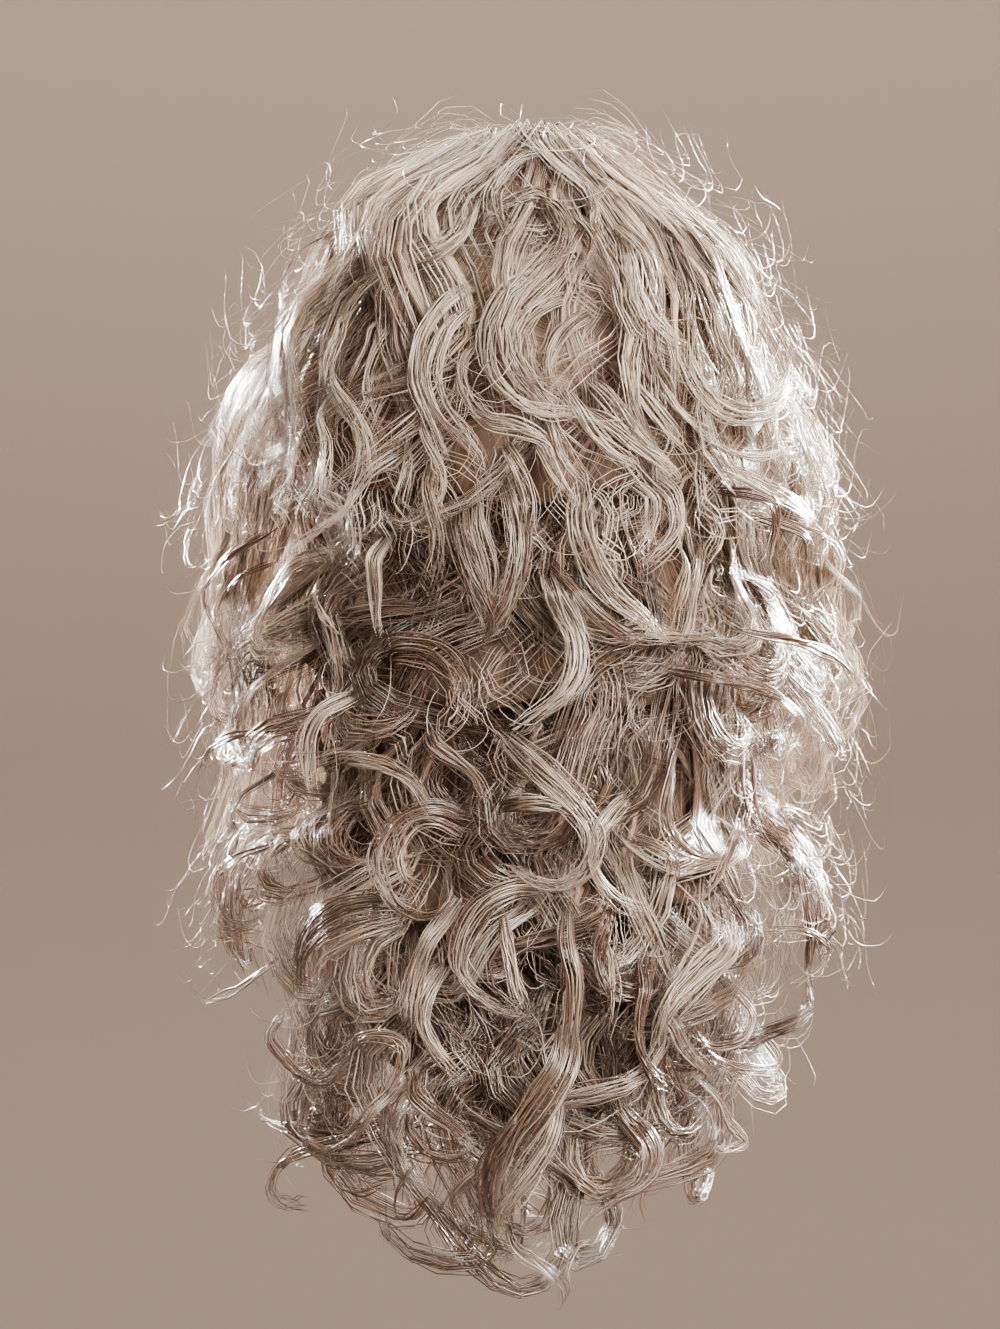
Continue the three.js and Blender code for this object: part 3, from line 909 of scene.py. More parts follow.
@dataclass
class Locks:
    """Locks of hair: their middle lines, and the half width and half thickness along them, in millimetres."""

    centre: Array
    across: Array
    through: Array
    tone: Array
    strands: Array
    girth: float = 0.62

    ROOT_WIDTH, ROOT_END = 0.6, 0.16
    THINNING, THIN_FROM, THIN_TO = 0.45, 0.4, 0.95
    TIP_THINNING, TIP_FROM = 0.7, 0.86
    CORE_WIDTH, CORE_END = 0.28, 0.74
    CORE_THINNING, CORE_THIN_FROM = 0.9, 0.45
    # Painted shade: how much darker a core is than its lock; its tone also varies a little across it.
    CORE_TONE, CORE_SIDE_TONE = -0.16, 0.035
    CORE_RINGS, CORE_SIDES = 17, 5
    SHORT_LENGTH, SHORT_POINTS, LONG_POINTS = 60.0, 12, 22

    @staticmethod
    def ribbons(
        centre: Array,
        normal: Array,
        width: Array,
        flatness: float,
        tone: Array,
        strands: Array,
        twist: Array,
    ) -> Locks:
        """Ribbons of hair along middle lines, flat to the surface that they lie on.

        Args:
            centre: The middle lines, shaped (locks, points, 3).
            normal: The way out of the hair at each point.
            width: Each lock's full width.
            flatness: The thickness as a share of the width.
            tone: Each lock's place on the colour scale.
            strands: Each lock's number of strands.
            twist: How far the ribbon is turned about its line at each point, in radians.

        Returns:
            The locks.
        """
        along = unit(np.gradient(centre, axis=1))
        across = unit(np.cross(along, normal))
        through = np.cross(across, along)
        turn, lean = np.cos(twist)[..., None], np.sin(twist)[..., None]
        across, through = across * turn + through * lean, through * turn - across * lean
        share = np.linspace(0.0, 1.0, centre.shape[1])
        body = Locks.ROOT_WIDTH + (1.0 - Locks.ROOT_WIDTH) * smooth(0.0, Locks.ROOT_END, share)
        body *= 1.0 - Locks.THINNING * smooth(Locks.THIN_FROM, Locks.THIN_TO, share)
        body *= 1.0 - Locks.TIP_THINNING * smooth(Locks.TIP_FROM, 1.0, share)
        half = (width / 2)[:, None, None] * body[None, :, None]
        return Locks(centre, across * half, through * half * flatness, tone, strands)

    def guides(self, start: float, points: int) -> Guides:
        """Guides for the strands on the locks.

        Args:
            start: The share of each lock that has no strands, because the hair above hides it.
            points: The number of points on a guide.

        Returns:
            The guides, with their points closer set where a lock bends.
        """
        shares = shares_by_bend(self.centre, start, points)
        read = (resample(values, shares) for values in (self.centre, self.across, self.through))
        return Guides(*read, self.tone, np.full_like(shares, self.girth), self.strands, shares)

    def cores(self) -> Form:
        """The solid cores of the locks, painted darker than the locks as shade between their strands.

        Returns:
            The corners in metres, the faces, and each corner's place on the colour map.
        """
        points, sides, locks = self.CORE_RINGS, self.CORE_SIDES, len(self.tone)
        shares = np.linspace(0.0, self.CORE_END, points)
        centre, across, through = (resample(v, shares) for v in (self.centre, self.across, self.through))
        narrow = 1.0 - self.CORE_THINNING * smooth(self.CORE_THIN_FROM, self.CORE_END, shares)
        across, through = (values * narrow[None, :, None] for values in (across, through))
        turns = np.linspace(0.0, 2 * math.pi, sides, endpoint=False)
        wide = np.cos(turns)[None, None, :, None] * across[:, :, None, :]
        thick = np.sin(turns)[None, None, :, None] * through[:, :, None, :]
        corners = centre[:, :, None, :] + self.CORE_WIDTH * (wide + thick)
        ring = np.arange(sides)
        base = (np.arange(locks)[:, None] * points + np.arange(points - 1)[None, :]) * sides
        a = base[..., None] + ring
        b = base[..., None] + (ring + 1) % sides
        faces = np.stack([a, a + sides, b + sides, b], axis=-1).reshape(-1, 4).tolist()
        for lock in range(locks):
            root = lock * points * sides
            tip = root + (points - 1) * sides
            faces.append(list(range(root, root + sides)))
            faces.append(list(range(tip + sides - 1, tip - 1, -1)))
        # Painted shade: each core is darker than its lock.
        tone = self.tone[:, None, None] + self.CORE_TONE + self.CORE_SIDE_TONE * np.cos(turns)[None, None, :]
        tone = np.repeat(tone, points, axis=1)
        along = np.broadcast_to(shares[None, :, None], tone.shape)
        return corners.reshape(-1, 3) * MM, faces, np.stack([tone, along], axis=-1).reshape(-1, 2)

    def by_length(self) -> list[tuple[str, Locks, int]]:
        """The locks sorted into short and long ones.

        Returns:
            A name, the locks, and the number of points that their guides need, for each sort that there is.
        """
        short = np.linalg.norm(np.diff(self.centre, axis=1), axis=2).sum(axis=1) < self.SHORT_LENGTH
        found = []
        sorts = (("short_curls", short, self.SHORT_POINTS), ("curls", ~short, self.LONG_POINTS))
        for name, pick, points in sorts:
            if pick.any():
                parts = (v[pick] for v in (self.centre, self.across, self.through, self.tone, self.strands))
                found.append((name, Locks(*parts, self.girth), points))
        return found


@dataclass(frozen=True)
class Section:
    """Where a row's middle surface passes, in millimetres.

    Its height is given at the row's middle and at its end, and its reach as a half width and a depth.
    """

    z_mid: float
    z_end: float
    half_width: float
    depth: float
    thickness: float


@dataclass(frozen=True)
class Root:
    """Where a row leaves the cap: at a height round it, or on an oval parting on top of it."""

    z: float | None = None
    half_width: float = 0.0
    depth: float = 0.0


@dataclass(frozen=True)
class Cap:
    """The cap's outer form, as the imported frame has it, in millimetres."""

    half_width: float = 79.1
    half_length: float = 98.6
    brow_drop: float = 95.0
    rise: float = 3.1
    nape_taper: float = 0.14
    nape_drop: float = 70.0
    node: str = "wig_cap"

    def on_side(self, azimuth: Array, z: float) -> Array:
        """Points round the cap at a height.

        Args:
            azimuth: Where the points lie round the head, in radians.
            z: The height.

        Returns:
            The points.
        """
        if z >= -self.brow_drop:
            share = math.sqrt(1.0 - ((z + self.brow_drop) / (self.brow_drop + self.rise)) ** 2)
        else:
            share = 1.0 - self.nape_taper * ((-self.brow_drop - z) / self.nape_drop) ** 2
        x = self.half_width * share * np.sin(azimuth)
        y = -self.half_length * share * np.cos(azimuth)
        return np.stack([x, y, np.full_like(x, z)], axis=-1)

    def on_top(self, azimuth: Array, root: Root) -> Array:
        """Points on an oval parting.

        Args:
            azimuth: Where the points lie round the head, in radians.
            root: The parting.

        Returns:
            The points.
        """
        x = root.half_width * np.sin(azimuth)
        y = -root.depth * np.cos(azimuth)
        inside = 1.0 - (x / self.half_width) ** 2 - (y / self.half_length) ** 2
        z = -self.brow_drop + (self.brow_drop + self.rise) * np.sqrt(np.maximum(inside, 0.0))
        return np.stack([x, y, z], axis=-1)

    def dress(self) -> None:
        """Gives the cap its knitted net."""
        cap = bpy.data.objects[self.node]
        cap.data.materials.clear()
        cap.data.materials.append(NetFinish().material())


@dataclass(frozen=True)
class Outside:
    """The outside of the whole head of hair: its half width and depth at heights, in millimetres."""

    z: tuple[float, ...] = (
        *(-530, -500, -470, -430, -390, -350, -310, -270, -230, -200),
        *(-160, -127, -87, -46, -20, 0, 10, 20, 27),
    )
    half_width: tuple[float, ...] = (
        *(80, 110, 130, 146, 160, 164, 166, 164, 158, 160),
        *(160, 152, 134, 113, 95, 76, 62, 42, 10),
    )
    depth: tuple[float, ...] = (
        *(178, 180, 180, 180, 178, 172, 168, 163, 150, 152),
        *(153, 148, 138, 126, 112, 98, 85, 60, 20),
    )
    near_y: float = -200.0
    far_y: float = 30.0
    steps: int = 240
    crown_z: float = -60.0
    crown_lean: float = 0.002

    def seen(self, view: Viewpoint, pixels: Array) -> tuple[Array, Array]:
        """Where the lines of sight through pixels meet the outside of the hair, or pass nearest to it.

        Args:
            view: The camera.
            pixels: Places in the full picture, shaped (points, 2).

        Returns:
            The points, in millimetres, and the way out of the hair there.
        """
        eye = np.array(view.place) / MM
        points, ways = [], []
        for pixel in pixels:
            ray = view.ray(*pixel)
            reach = np.linspace((self.near_y - eye[1]) / ray[1], (self.far_y - eye[1]) / ray[1], self.steps)
            line = eye + ray * reach[:, None]
            wide = np.interp(line[:, 2], self.z, self.half_width)
            far = np.interp(line[:, 2], self.z, self.depth)
            level = (line[:, 0] / wide) ** 2 + (line[:, 1] / far) ** 2
            inside = np.nonzero(level <= 1.0)[0]
            at = inside[0] if len(inside) else int(np.argmin(level))
            x, y, z = line[at]
            points.append(line[at])
            ways.append((x / wide[at] ** 2, y / far[at] ** 2, self.crown_lean * (z > self.crown_z)))
        return np.array(points), unit(np.array(ways))


@dataclass(frozen=True)
class DrawnLock:
    """A lock that stands out, drawn over the picture as points in its pixels, with its width in pixels."""

    path: tuple[Span, ...]
    width: float
    tone: Tone

    FINE_POINTS, EASINGS = 160, 4
    # How deep a lock's root lies in the hair, its rise from there, its ripple, and its sinking at the crown.
    ROOT_LIFT, RISE, RISE_END = -14.0, 17.0, 0.3
    RIPPLE, RIPPLE_TURN = 1.5, 9.0
    CROWN_SINK, CROWN_Z = 5.0, (-30.0, 10.0)
    # Millimetres to a pixel of width, the least width, strands to a millimetre, and their least and most.
    PIXEL, LEAST_WIDTH = 0.5, 1.5
    DENSITY, FEWEST, MOST = 2.5, 3, 36
    FLATNESS = 0.3
    TWIST, TWIST_TURN, TWIST_STEP = 0.5, 5.0, 0.1
    # How much painted shade darkens low locks below their drawn tone, how much painted light pales those
    # below the crown, and at what heights.
    LOW_SHADE, LOW_Z = 0.22, (-430.0, -230.0)
    BRIGHT, BRIGHT_FROM, BRIGHT_TO = 0.09, (-235.0, -180.0), (-110.0, -60.0)

    def line(self, view: Viewpoint, outside: Outside) -> tuple[Array, Array]:
        """The lock's middle line on the outside of the hair.

        Args:
            view: The camera that the lock was drawn in.
            outside: The form that it lies on.

        Returns:
            The line's points, in millimetres, and the way out of the hair there.
        """
        knots = np.array(self.path, dtype=float)[None]
        fine = np.linspace(0.0, knots.shape[1] - 1.0, self.FINE_POINTS)
        drawn_line = catmull_rom(np.repeat(knots, len(fine), axis=0), fine)
        gone = np.concatenate([[0.0], np.cumsum(np.linalg.norm(np.diff(drawn_line, axis=0), axis=1))])
        even = np.linspace(0.0, gone[-1], LOCK_POINTS)
        pixels = np.stack([np.interp(even, gone, drawn_line[:, i]) for i in range(2)], axis=-1)
        points, ways = outside.seen(view, pixels)
        for _ in range(self.EASINGS):
            points[1:-1, 1] = (points[:-2, 1] + 2 * points[1:-1, 1] + points[2:, 1]) / 4
            ways[1:-1] = (ways[:-2] + 2 * ways[1:-1] + ways[2:]) / 4
        share = np.linspace(0.0, 1.0, LOCK_POINTS)
        lift = self.ROOT_LIFT + self.RISE * smooth(0.0, self.RISE_END, share)
        lift = lift + self.RIPPLE * np.sin(share * self.RIPPLE_TURN + self.path[0][0])
        lift = lift - self.CROWN_SINK * smooth(*self.CROWN_Z, points[:, 2])
        return kept_in(points + unit(ways) * lift[:, None]), unit(ways)

    @classmethod
    def laid(cls, several: list[DrawnLock], view: Viewpoint, outside: Outside) -> Locks:
        """Drawn locks as locks of hair.

        Args:
            several: The drawn locks.
            view: The camera that they were drawn in.
            outside: The form that they lie on.

        Returns:
            The locks of hair.
        """
        lines = [lock.line(view, outside) for lock in several]
        centre = np.stack([line for line, _ in lines])
        normal = np.stack([way for _, way in lines])
        width = np.array([max(lock.width * cls.PIXEL, cls.LEAST_WIDTH) for lock in several])
        tone = np.array([lock.tone.value for lock in several])
        height = centre[:, :, 2].mean(axis=1)
        # Painted shade darkens the low locks.
        tone = tone - cls.LOW_SHADE * (1.0 - smooth(*cls.LOW_Z, height))
        # Painted light pales the locks just below the crown.
        tone = tone + cls.BRIGHT * smooth(*cls.BRIGHT_FROM, height) * (1.0 - smooth(*cls.BRIGHT_TO, height))
        strands = np.clip(np.round(width * cls.DENSITY), cls.FEWEST, cls.MOST).astype(int)
        run = np.linspace(0.0, 1.0, LOCK_POINTS)[None, :]
        twist = cls.TWIST * np.sin(run * cls.TWIST_TURN + centre[:, :1, 0] * cls.TWIST_STEP)
        return Locks.ribbons(centre, normal, width, cls.FLATNESS, tone, strands, twist)


@dataclass(frozen=True)
class Tuft:
    """How a short tuft between the locks lies.

    Lengths are in millimetres, headings in radians, and lifts in shares of the hair's thickness. The two
    steps share the tufts out evenly round the head and down the row. Along gives where a tuft's colours
    start on the way from a lock's root to its tip, and how far they run.
    """

    points: int = 7
    strands: int = 5
    round_step: float = 0.75488
    down_step: float = 0.56984
    uneven: Span = (0.0, 0.02)
    length: Span = (50.0, 110.0)
    heading: Span = (-0.6, 0.6)
    bend: Span = (-1.3, 1.3)
    turns: Span = (0.6, 1.3)
    swing: float = 0.8
    lift: Span = (-0.25, 0.2)
    ripple: float = 0.15
    ripple_turn: float = 5.0
    tone: Span = (-0.1, 0.12)
    half_width: float = 4.5
    half_depth: float = 1.5
    girth: float = 0.48
    along: Span = (0.2, 0.5)


@dataclass(frozen=True)
class LooseHair:
    """How a loose single hair lies over the locks, in the units of a tuft."""

    points: int = 11
    edge: float = 0.12
    aside: float = 0.55
    top: float = 0.8
    length: Span = (30.0, 95.0)
    past_hem: float = 12.0
    heading: Span = (-1.1, 1.1)
    bend: Span = (1.0, 5.6)
    lift: Span = (0.3, 0.75)
    tip_lift: Span = (-0.3, 1.0)
    tip_power: float = 1.5
    stray: Span = (0.2, 1.5)
    inner_stray: float = 0.15
    root_lift: float = 0.3
    root_end: float = 1.4
    tone: Span = (0.35, 0.95)
    half_width: float = 0.6
    girth: float = 0.36
    along: Span = (0.35, 0.5)


@dataclass(frozen=True)
class UnderHair:
    """The thin closed sheet of under-hair inside a row's locks, in strips round the head and down it, painted
    darker down the row as shade.
    """

    columns: int = 30
    rows: int = 16
    lifts: Span = (-0.62, -0.36)
    side_gap: float = 0.13
    reach: float = 0.9
    hem_wave: float = 0.02
    hem_turn: float = 23.0
    side_rise: float = 0.2
    ripple: float = 0.16
    ripple_turn: Span = (61.0, 0.5)
    # Painted shade: the dark tone that the sheet runs to down the row, and the share of the way down over
    # which it comes in.
    painted_shade_tone: float = -0.22
    painted_shade_span: Span = (0.4, 0.9)
    fold_tone: float = 0.22
    folds: float = 7.0
    streak_tone: float = 0.035
    streak_turn: Span = (9.0, 1.1)

    def faces(self) -> list[list[int]]:
        """The faces of the sheet's inner side, outer side and rim.

        Returns:
            The faces, for corners that run round each row in turn, inner side first.
        """
        across, rows = self.columns + 1, self.rows
        layer = (rows + 1) * across
        cell = (np.arange(rows)[:, None] * across + np.arange(self.columns)[None, :]).ravel()
        quad = np.stack([cell, cell + 1, cell + across + 1, cell + across], axis=-1)
        rim = list(range(across)) + [(row + 1) * across - 1 for row in range(1, rows + 1)]
        rim += [rows * across + place for place in range(self.columns - 1, -1, -1)]
        rim += [row * across for row in range(rows - 1, 0, -1)]
        edge = [[a, a + layer, b + layer, b] for a, b in zip(rim, rim[1:] + rim[:1])]
        return quad.tolist() + (quad[:, ::-1] + layer).tolist() + edge


@dataclass(frozen=True)
class Growth:
    """What the grown locks of all rows share, in the units of a tuft and in shares of a lock's length."""

    uneven: Span = (0.15, 0.85)
    past_hem: float = 0.1
    swell: float = 2.2
    swell_turn: float = 3.1
    phase: Span = (-1.1, 1.1)
    wave_grows: Span = (0.03, 0.3)
    curl_calms: float = 0.7
    curl_power: float = 1.35
    inner_lift: Span = (-0.15, -0.5)
    wave_lift: float = 0.5
    wave_lifts: Span = (0.15, 0.45)
    curl_lift: float = 0.5
    curl_turn: float = 2.2
    root_lift: float = 0.15
    root_rises: Span = (0.04, 0.34)
    tone: Span = (-0.07, 0.07)
    # Painted shade: how much darker the inner layer of locks is, under the outer ones.
    inner_painted_shade: float = 0.12
    twist: float = 0.55
    twist_turn: float = 0.7
    flatness: float = 0.42


GROWTH = Growth()
TUFT = Tuft()
LOOSE_HAIR = LooseHair()
UNDER_HAIR = UnderHair()


@dataclass(frozen=True)
class Habit:
    """How the hair of a row grows: the locks' waves, end curls, width and colour, and the hairs round them.

    Widths, wavelengths and curl lengths are in millimetres, lengths in shares of the row's own, and lifts in
    shares of the hair's thickness. The hair above hides the share of a lock that is given as hidden, and
    the bed is the part of the row that its under-hair spans.
    """

    outer: int
    inner: int
    strands: int
    width: Span
    length: Span
    wave_deg: Span
    wavelength: Span
    curl_deg: Span
    curl_length: Span
    lift: Span
    tones: tuple[tuple[Tone, float], ...]
    hidden: float
    points: int
    loose: int
    tufts: int
    ragged: float = 0.9
    slant: float = 0.0
    bed: Span | None = None
    # The under-hair's tone at the top of the bed; by default the dark painted shade tone.
    bed_tone: float = UNDER_HAIR.painted_shade_tone

    def pick_tones(self, chance: np.random.Generator, count: int, span: Span) -> Array:
        """Tones for a number of locks, by the share that each tone has.

        Args:
            chance: The row's chances.
            count: The number of locks.
            span: How far a lock's tone may lie from the one picked.

        Returns:
            The tones.
        """
        tones = np.array([tone.value for tone, _ in self.tones])
        weights = np.array([weight for _, weight in self.tones])
        return chance.choice(tones, count, p=weights / weights.sum()) + chance.uniform(*span, count)


@dataclass
class HairRow:
    """One row of hair on the cap, and the CAD node that it stands for."""

    node: str
    slot: str
    start_deg: float
    end_deg: float
    root: Root
    sections: tuple[Section, ...]
    habit: Habit
    finish: HairFinish
    seed: int
    cap: Cap = field(default_factory=Cap)

    # The shares of the width by which a side sits closer to the head, and the heights they grow between.
    CLOSER_RIGHT = ((0.055, -230.0, -150.0), (0.11, -50.0, -5.0))
    CLOSER_LEFT = ((0.03, -150.0, -90.0), (0.12, -10.0, 12.0))
    ROOT_THICKNESS = 3.0
    # The least that a station and a radian measure to a walk, and where a walk slows and stops at the hem.
    LEAST_FALL, LEAST_GIRTH = 4.0, 18.0
    HEM_SLACK, HEM_BRAKE, HEM_PULL, HEM_STOP = 0.1, 0.5, -0.25, 0.2
    FIRST_STATION, LOCK_START = 0.02, 0.05
    # The azimuths between which a slanted hem rises, how far short hairs may pass the hem, and the least that
    # they start above their end.
    SLANTS, SHORT_PAST_HEM, SHORT_RUN = (0.2, 1.0), 0.2, 0.35
    # What the seeds of a row's further pieces add to its own.
    LOOSE_CHANCE, TUFT_CHANCE = 500, 700
    LOOSE_SEED, TUFT_SEED = 40, 60
    GROWN_TRIM = 0.02

    @property
    def span_deg(self) -> Span:
        """The row's two ends round the head, in rising order."""
        return min(self.start_deg, self.end_deg), max(self.start_deg, self.end_deg)

    def stations(self, azimuth: Array) -> Array:
        """The points that the row's middle surface passes through, from the root down.

        Args:
            azimuth: Where to read them round the head, in radians.

        Returns:
            The points, shaped (azimuths, stations, 3).
        """
        share = (np.degrees(azimuth) - self.start_deg) / (self.end_deg - self.start_deg)
        two_sided = self.start_deg * self.end_deg < 0
        from_mid = np.clip(np.abs(2 * share - 1) if two_sided else share, 0.0, 1.0)
        on_top = self.root.z is None
        rows = [self.cap.on_top(azimuth, self.root) if on_top else self.cap.on_side(azimuth, self.root.z)]
        for section in self.sections:
            z = section.z_mid + (section.z_end - section.z_mid) * from_mid
            x = section.half_width * np.sin(azimuth)
            y = -section.depth * np.cos(azimuth)
            rows.append(np.stack([x, y, z], axis=-1))
        return np.stack(rows, axis=1)

    def surface(self, azimuth: Array, at: Array) -> Array:
        """Points of the row's middle surface, which sits a little closer to the head on top and at the right.

        Args:
            azimuth: Where the points lie round the head, in radians.
            at: Where they lie down the row, counted in stations.

        Returns:
            The points.
        """
        points = catmull_rom(self.stations(azimuth), at)
        right, left = (
            sum(share * smooth(low, high, points[:, 2]) for share, low, high in side)
            for side in (self.CLOSER_RIGHT, self.CLOSER_LEFT)
        )
        points[:, 0] *= 1.0 - np.where(points[:, 0] > 0, right, left)
        return points

    def slopes(self, azimuth: Array, at: Array) -> tuple[Array, Array]:
        """How the row's middle surface runs at places on it.

        Args:
            azimuth: Where the places lie round the head, in radians.
            at: Where they lie down the row, counted in stations.

        Returns:
            The runs down the row, for a station, and round the head, for a radian.
        """
        down = self.surface(azimuth, at + STATION_STEP) - self.surface(azimuth, at - STATION_STEP)
        round_ = self.surface(azimuth + AZIMUTH_STEP, at) - self.surface(azimuth - AZIMUTH_STEP, at)
        return down / (2 * STATION_STEP), round_ / (2 * AZIMUTH_STEP)

    def thickness(self, at: Array) -> Array:
        """The hair's thickness, where "at" counts stations."""
        known = [self.ROOT_THICKNESS, *(section.thickness for section in self.sections)]
        return np.interp(at, np.arange(len(known)), known)

    def trace(
        self,
        azimuth: Array,
        at: Array,
        step: Array,
        bearing: Array,
        lift: Array,
        floor: Array,
    ) -> tuple[Array, Array]:
        """Walks over the row's surface.

        Args:
            azimuth: Where each walk starts round the head, in radians.
            at: Where it starts down the row, counted in stations.
            step: Each walk's step, in millimetres.
            bearing: The heading at each step, in radians from straight down, shaped (walks, points).
            lift: How far each point stands off the surface, as shares of the hair's thickness.
            floor: How far down the row each walk may go, counted in stations.

        Returns:
            The points and the way out of the hair there.
        """
        points, normals = [], []
        for heading, stand in zip(bearing.T, lift.T):
            down, round_ = self.slopes(azimuth, at)
            normal = unit(np.cross(down, round_))
            points.append(self.surface(azimuth, at) + normal * (stand * self.thickness(at))[:, None])
            normals.append(normal)
            fall = np.maximum(np.linalg.norm(down, axis=-1), self.LEAST_FALL)
            girth = np.maximum(np.linalg.norm(round_, axis=-1), self.LEAST_GIRTH)
            drop = np.cos(heading)
            slowed = np.clip((floor + self.HEM_SLACK - at) / self.HEM_BRAKE, self.HEM_PULL, 1.0)
            drop = np.where(drop > 0, drop * slowed, drop)
            at = np.clip(at + drop * step / fall, self.FIRST_STATION, floor + self.HEM_STOP)
            azimuth = azimuth + np.sin(heading) * step / girth
        return kept_in(np.stack(points, axis=1)), np.stack(normals, axis=1)

    def hem(self, azimuth: Array) -> Array:
        """How far down the row its hem is, counted in stations; a slanted one is shorter at the right."""
        return len(self.sections) - self.habit.slant * smooth(*self.SLANTS, azimuth)

    def straight_length(self, points: int = 60) -> float:
        """The length of the row's surface from root to hem at its middle.

        Args:
            points: The number of points to measure it by.

        Returns:
            The length, in millimetres.
        """
        azimuth = np.radians(np.full(points, (self.start_deg + self.end_deg) / 2))
        line = self.surface(azimuth, np.linspace(0, len(self.sections), points))
        return float(np.linalg.norm(np.diff(line, axis=0), axis=1).sum())

    def grown(self) -> Locks:
        """The locks that grow from the row.

        Returns:
            The locks, inner layer first.
        """
        chance = np.random.default_rng(self.seed)
        lock, habit = GROWTH, self.habit
        count = habit.outer + habit.inner
        low, high = self.span_deg
        spread = [(np.arange(n) + chance.uniform(*lock.uneven, n)) / n for n in (habit.inner, habit.outer)]
        azimuth = np.radians(low + (high - low) * np.concatenate(spread))
        outer = np.arange(count) >= habit.inner
        floor = self.hem(azimuth) + lock.past_hem - chance.uniform(0.0, habit.ragged, count)
        length = self.straight_length() * chance.uniform(*habit.length, count) * floor / len(self.sections)
        run = np.linspace(0.0, 1.0, LOCK_POINTS)[None, :]
        travelled = run * length[:, None]
        wavelength = column(chance, habit.wavelength, count)
        swell = lock.swell * np.sin(azimuth * lock.swell_turn + self.seed)
        phase = (swell + chance.uniform(*lock.phase, count))[:, None]
        wave = 2 * math.pi * travelled / wavelength + phase
        height = np.radians(column(chance, habit.wave_deg, count)) * smooth(*lock.wave_grows, run)
        hand = np.where(chance.random(count) < 0.5, -1.0, 1.0)[:, None]
        curl_length = column(chance, habit.curl_length, count)
        curl = np.radians(column(chance, habit.curl_deg, count))
        winding = np.clip(1.0 - (length[:, None] - travelled) / curl_length, 0.0, 1.0)
        bearing = height * np.sin(wave) * (1.0 - lock.curl_calms * winding)
        bearing = bearing + hand * curl * winding**lock.curl_power
        stand = column(chance, habit.lift, count)
        least, fall = lock.inner_lift
        lift = np.where(outer[:, None], stand, least + fall * stand)
        lift = lift + lock.wave_lift * np.cos(wave) * smooth(*lock.wave_lifts, run)
        lift = lift + lock.curl_lift * winding * np.sin(lock.curl_turn * winding * math.pi)
        lift = lift * (lock.root_lift + (1.0 - lock.root_lift) * smooth(*lock.root_rises, run))
        start = np.full(count, self.LOCK_START)
        points, normals = self.trace(azimuth, start, length / (LOCK_POINTS - 1), bearing, lift, floor)
        # Painted shade darkens the inner layer of locks.
        tone = habit.pick_tones(chance, count, lock.tone) - np.where(outer, 0.0, lock.inner_painted_shade)
        strands = np.where(outer, habit.strands, habit.strands * 2 // 3)
        twist = lock.twist * np.sin(wave * lock.twist_turn + column(chance, (0, FULL_TURN), count))
        width = chance.uniform(*habit.width, count)
        return Locks.ribbons(points, normals, width, lock.flatness, tone, strands, twist)

    def bed(self) -> Form:
        """The row's under-hair.

        Returns:
            The corners in metres, the faces, and each corner's place on the colour map.
        """
        sheet, habit = UNDER_HAIR, self.habit
        low, high = habit.bed
        last = len(self.sections)
        share = np.linspace(0.0, 1.0, sheet.columns + 1)
        middle = sheet.side_gap + (1.0 - 2 * sheet.side_gap) * share
        azimuth = np.radians(self.start_deg + (self.end_deg - self.start_deg) * middle)
        edge = sheet.reach + sheet.hem_wave * np.sin(share * sheet.hem_turn + self.seed)
        edge = edge - sheet.side_rise * np.abs(2 * share - 1) ** 3
        reach = low + (high - low) * edge * self.hem(azimuth) / last
        ripple_round, ripple_down = sheet.ripple_turn
        streak_round, streak_down = sheet.streak_turn
        corners, places = [], []
        for lift in sheet.lifts:
            for row in range(sheet.rows + 1):
                at = last * (low + (reach - low) * row / sheet.rows)
                normal = unit(np.cross(*self.slopes(azimuth, at)))
                stand = lift + sheet.ripple * np.sin(share * ripple_round + row * ripple_down)
                corners.append(self.surface(azimuth, at) + normal * (stand * self.thickness(at))[:, None])
                # Painted shade: the tone darkens from the row's bed tone to the painted shade tone down the
                # sheet.
                painted_shade_share = smooth(*sheet.painted_shade_span, row / sheet.rows)
                tone = habit.bed_tone + (sheet.painted_shade_tone - habit.bed_tone) * painted_shade_share
                tone = tone + sheet.fold_tone * np.abs((share * sheet.folds) % 2.0 - 1.0)
                tone = tone + sheet.streak_tone * np.sin(row * streak_down + share * streak_round)
                places.append(np.stack([tone, at / last], axis=-1))
        return np.concatenate(corners) * MM, sheet.faces(), np.concatenate(places)

    def starts(
        self, chance: np.random.Generator, azimuth: Array, top: float, share: Array | None = None
    ) -> tuple[Array, Array, Array]:
        """Where short hairs start and have to end.

        Args:
            chance: The row's chances.
            azimuth: Where each hair starts round the head, in radians.
            top: How far down the row the highest may start, as a share.
            share: How far each hair starts between there and its end, by chance if not given.

        Returns:
            Each hair's start and floor, counted in stations, and the room between them in millimetres.
        """
        last = len(self.sections)
        ragged = chance.uniform(0.0, self.habit.ragged, len(azimuth))
        floor = self.hem(azimuth) + self.SHORT_PAST_HEM - ragged
        share = chance.random(len(azimuth)) if share is None else share
        at = last * top + (floor - self.SHORT_RUN - last * top) * share
        return at, floor, (floor - at) * self.straight_length() / last

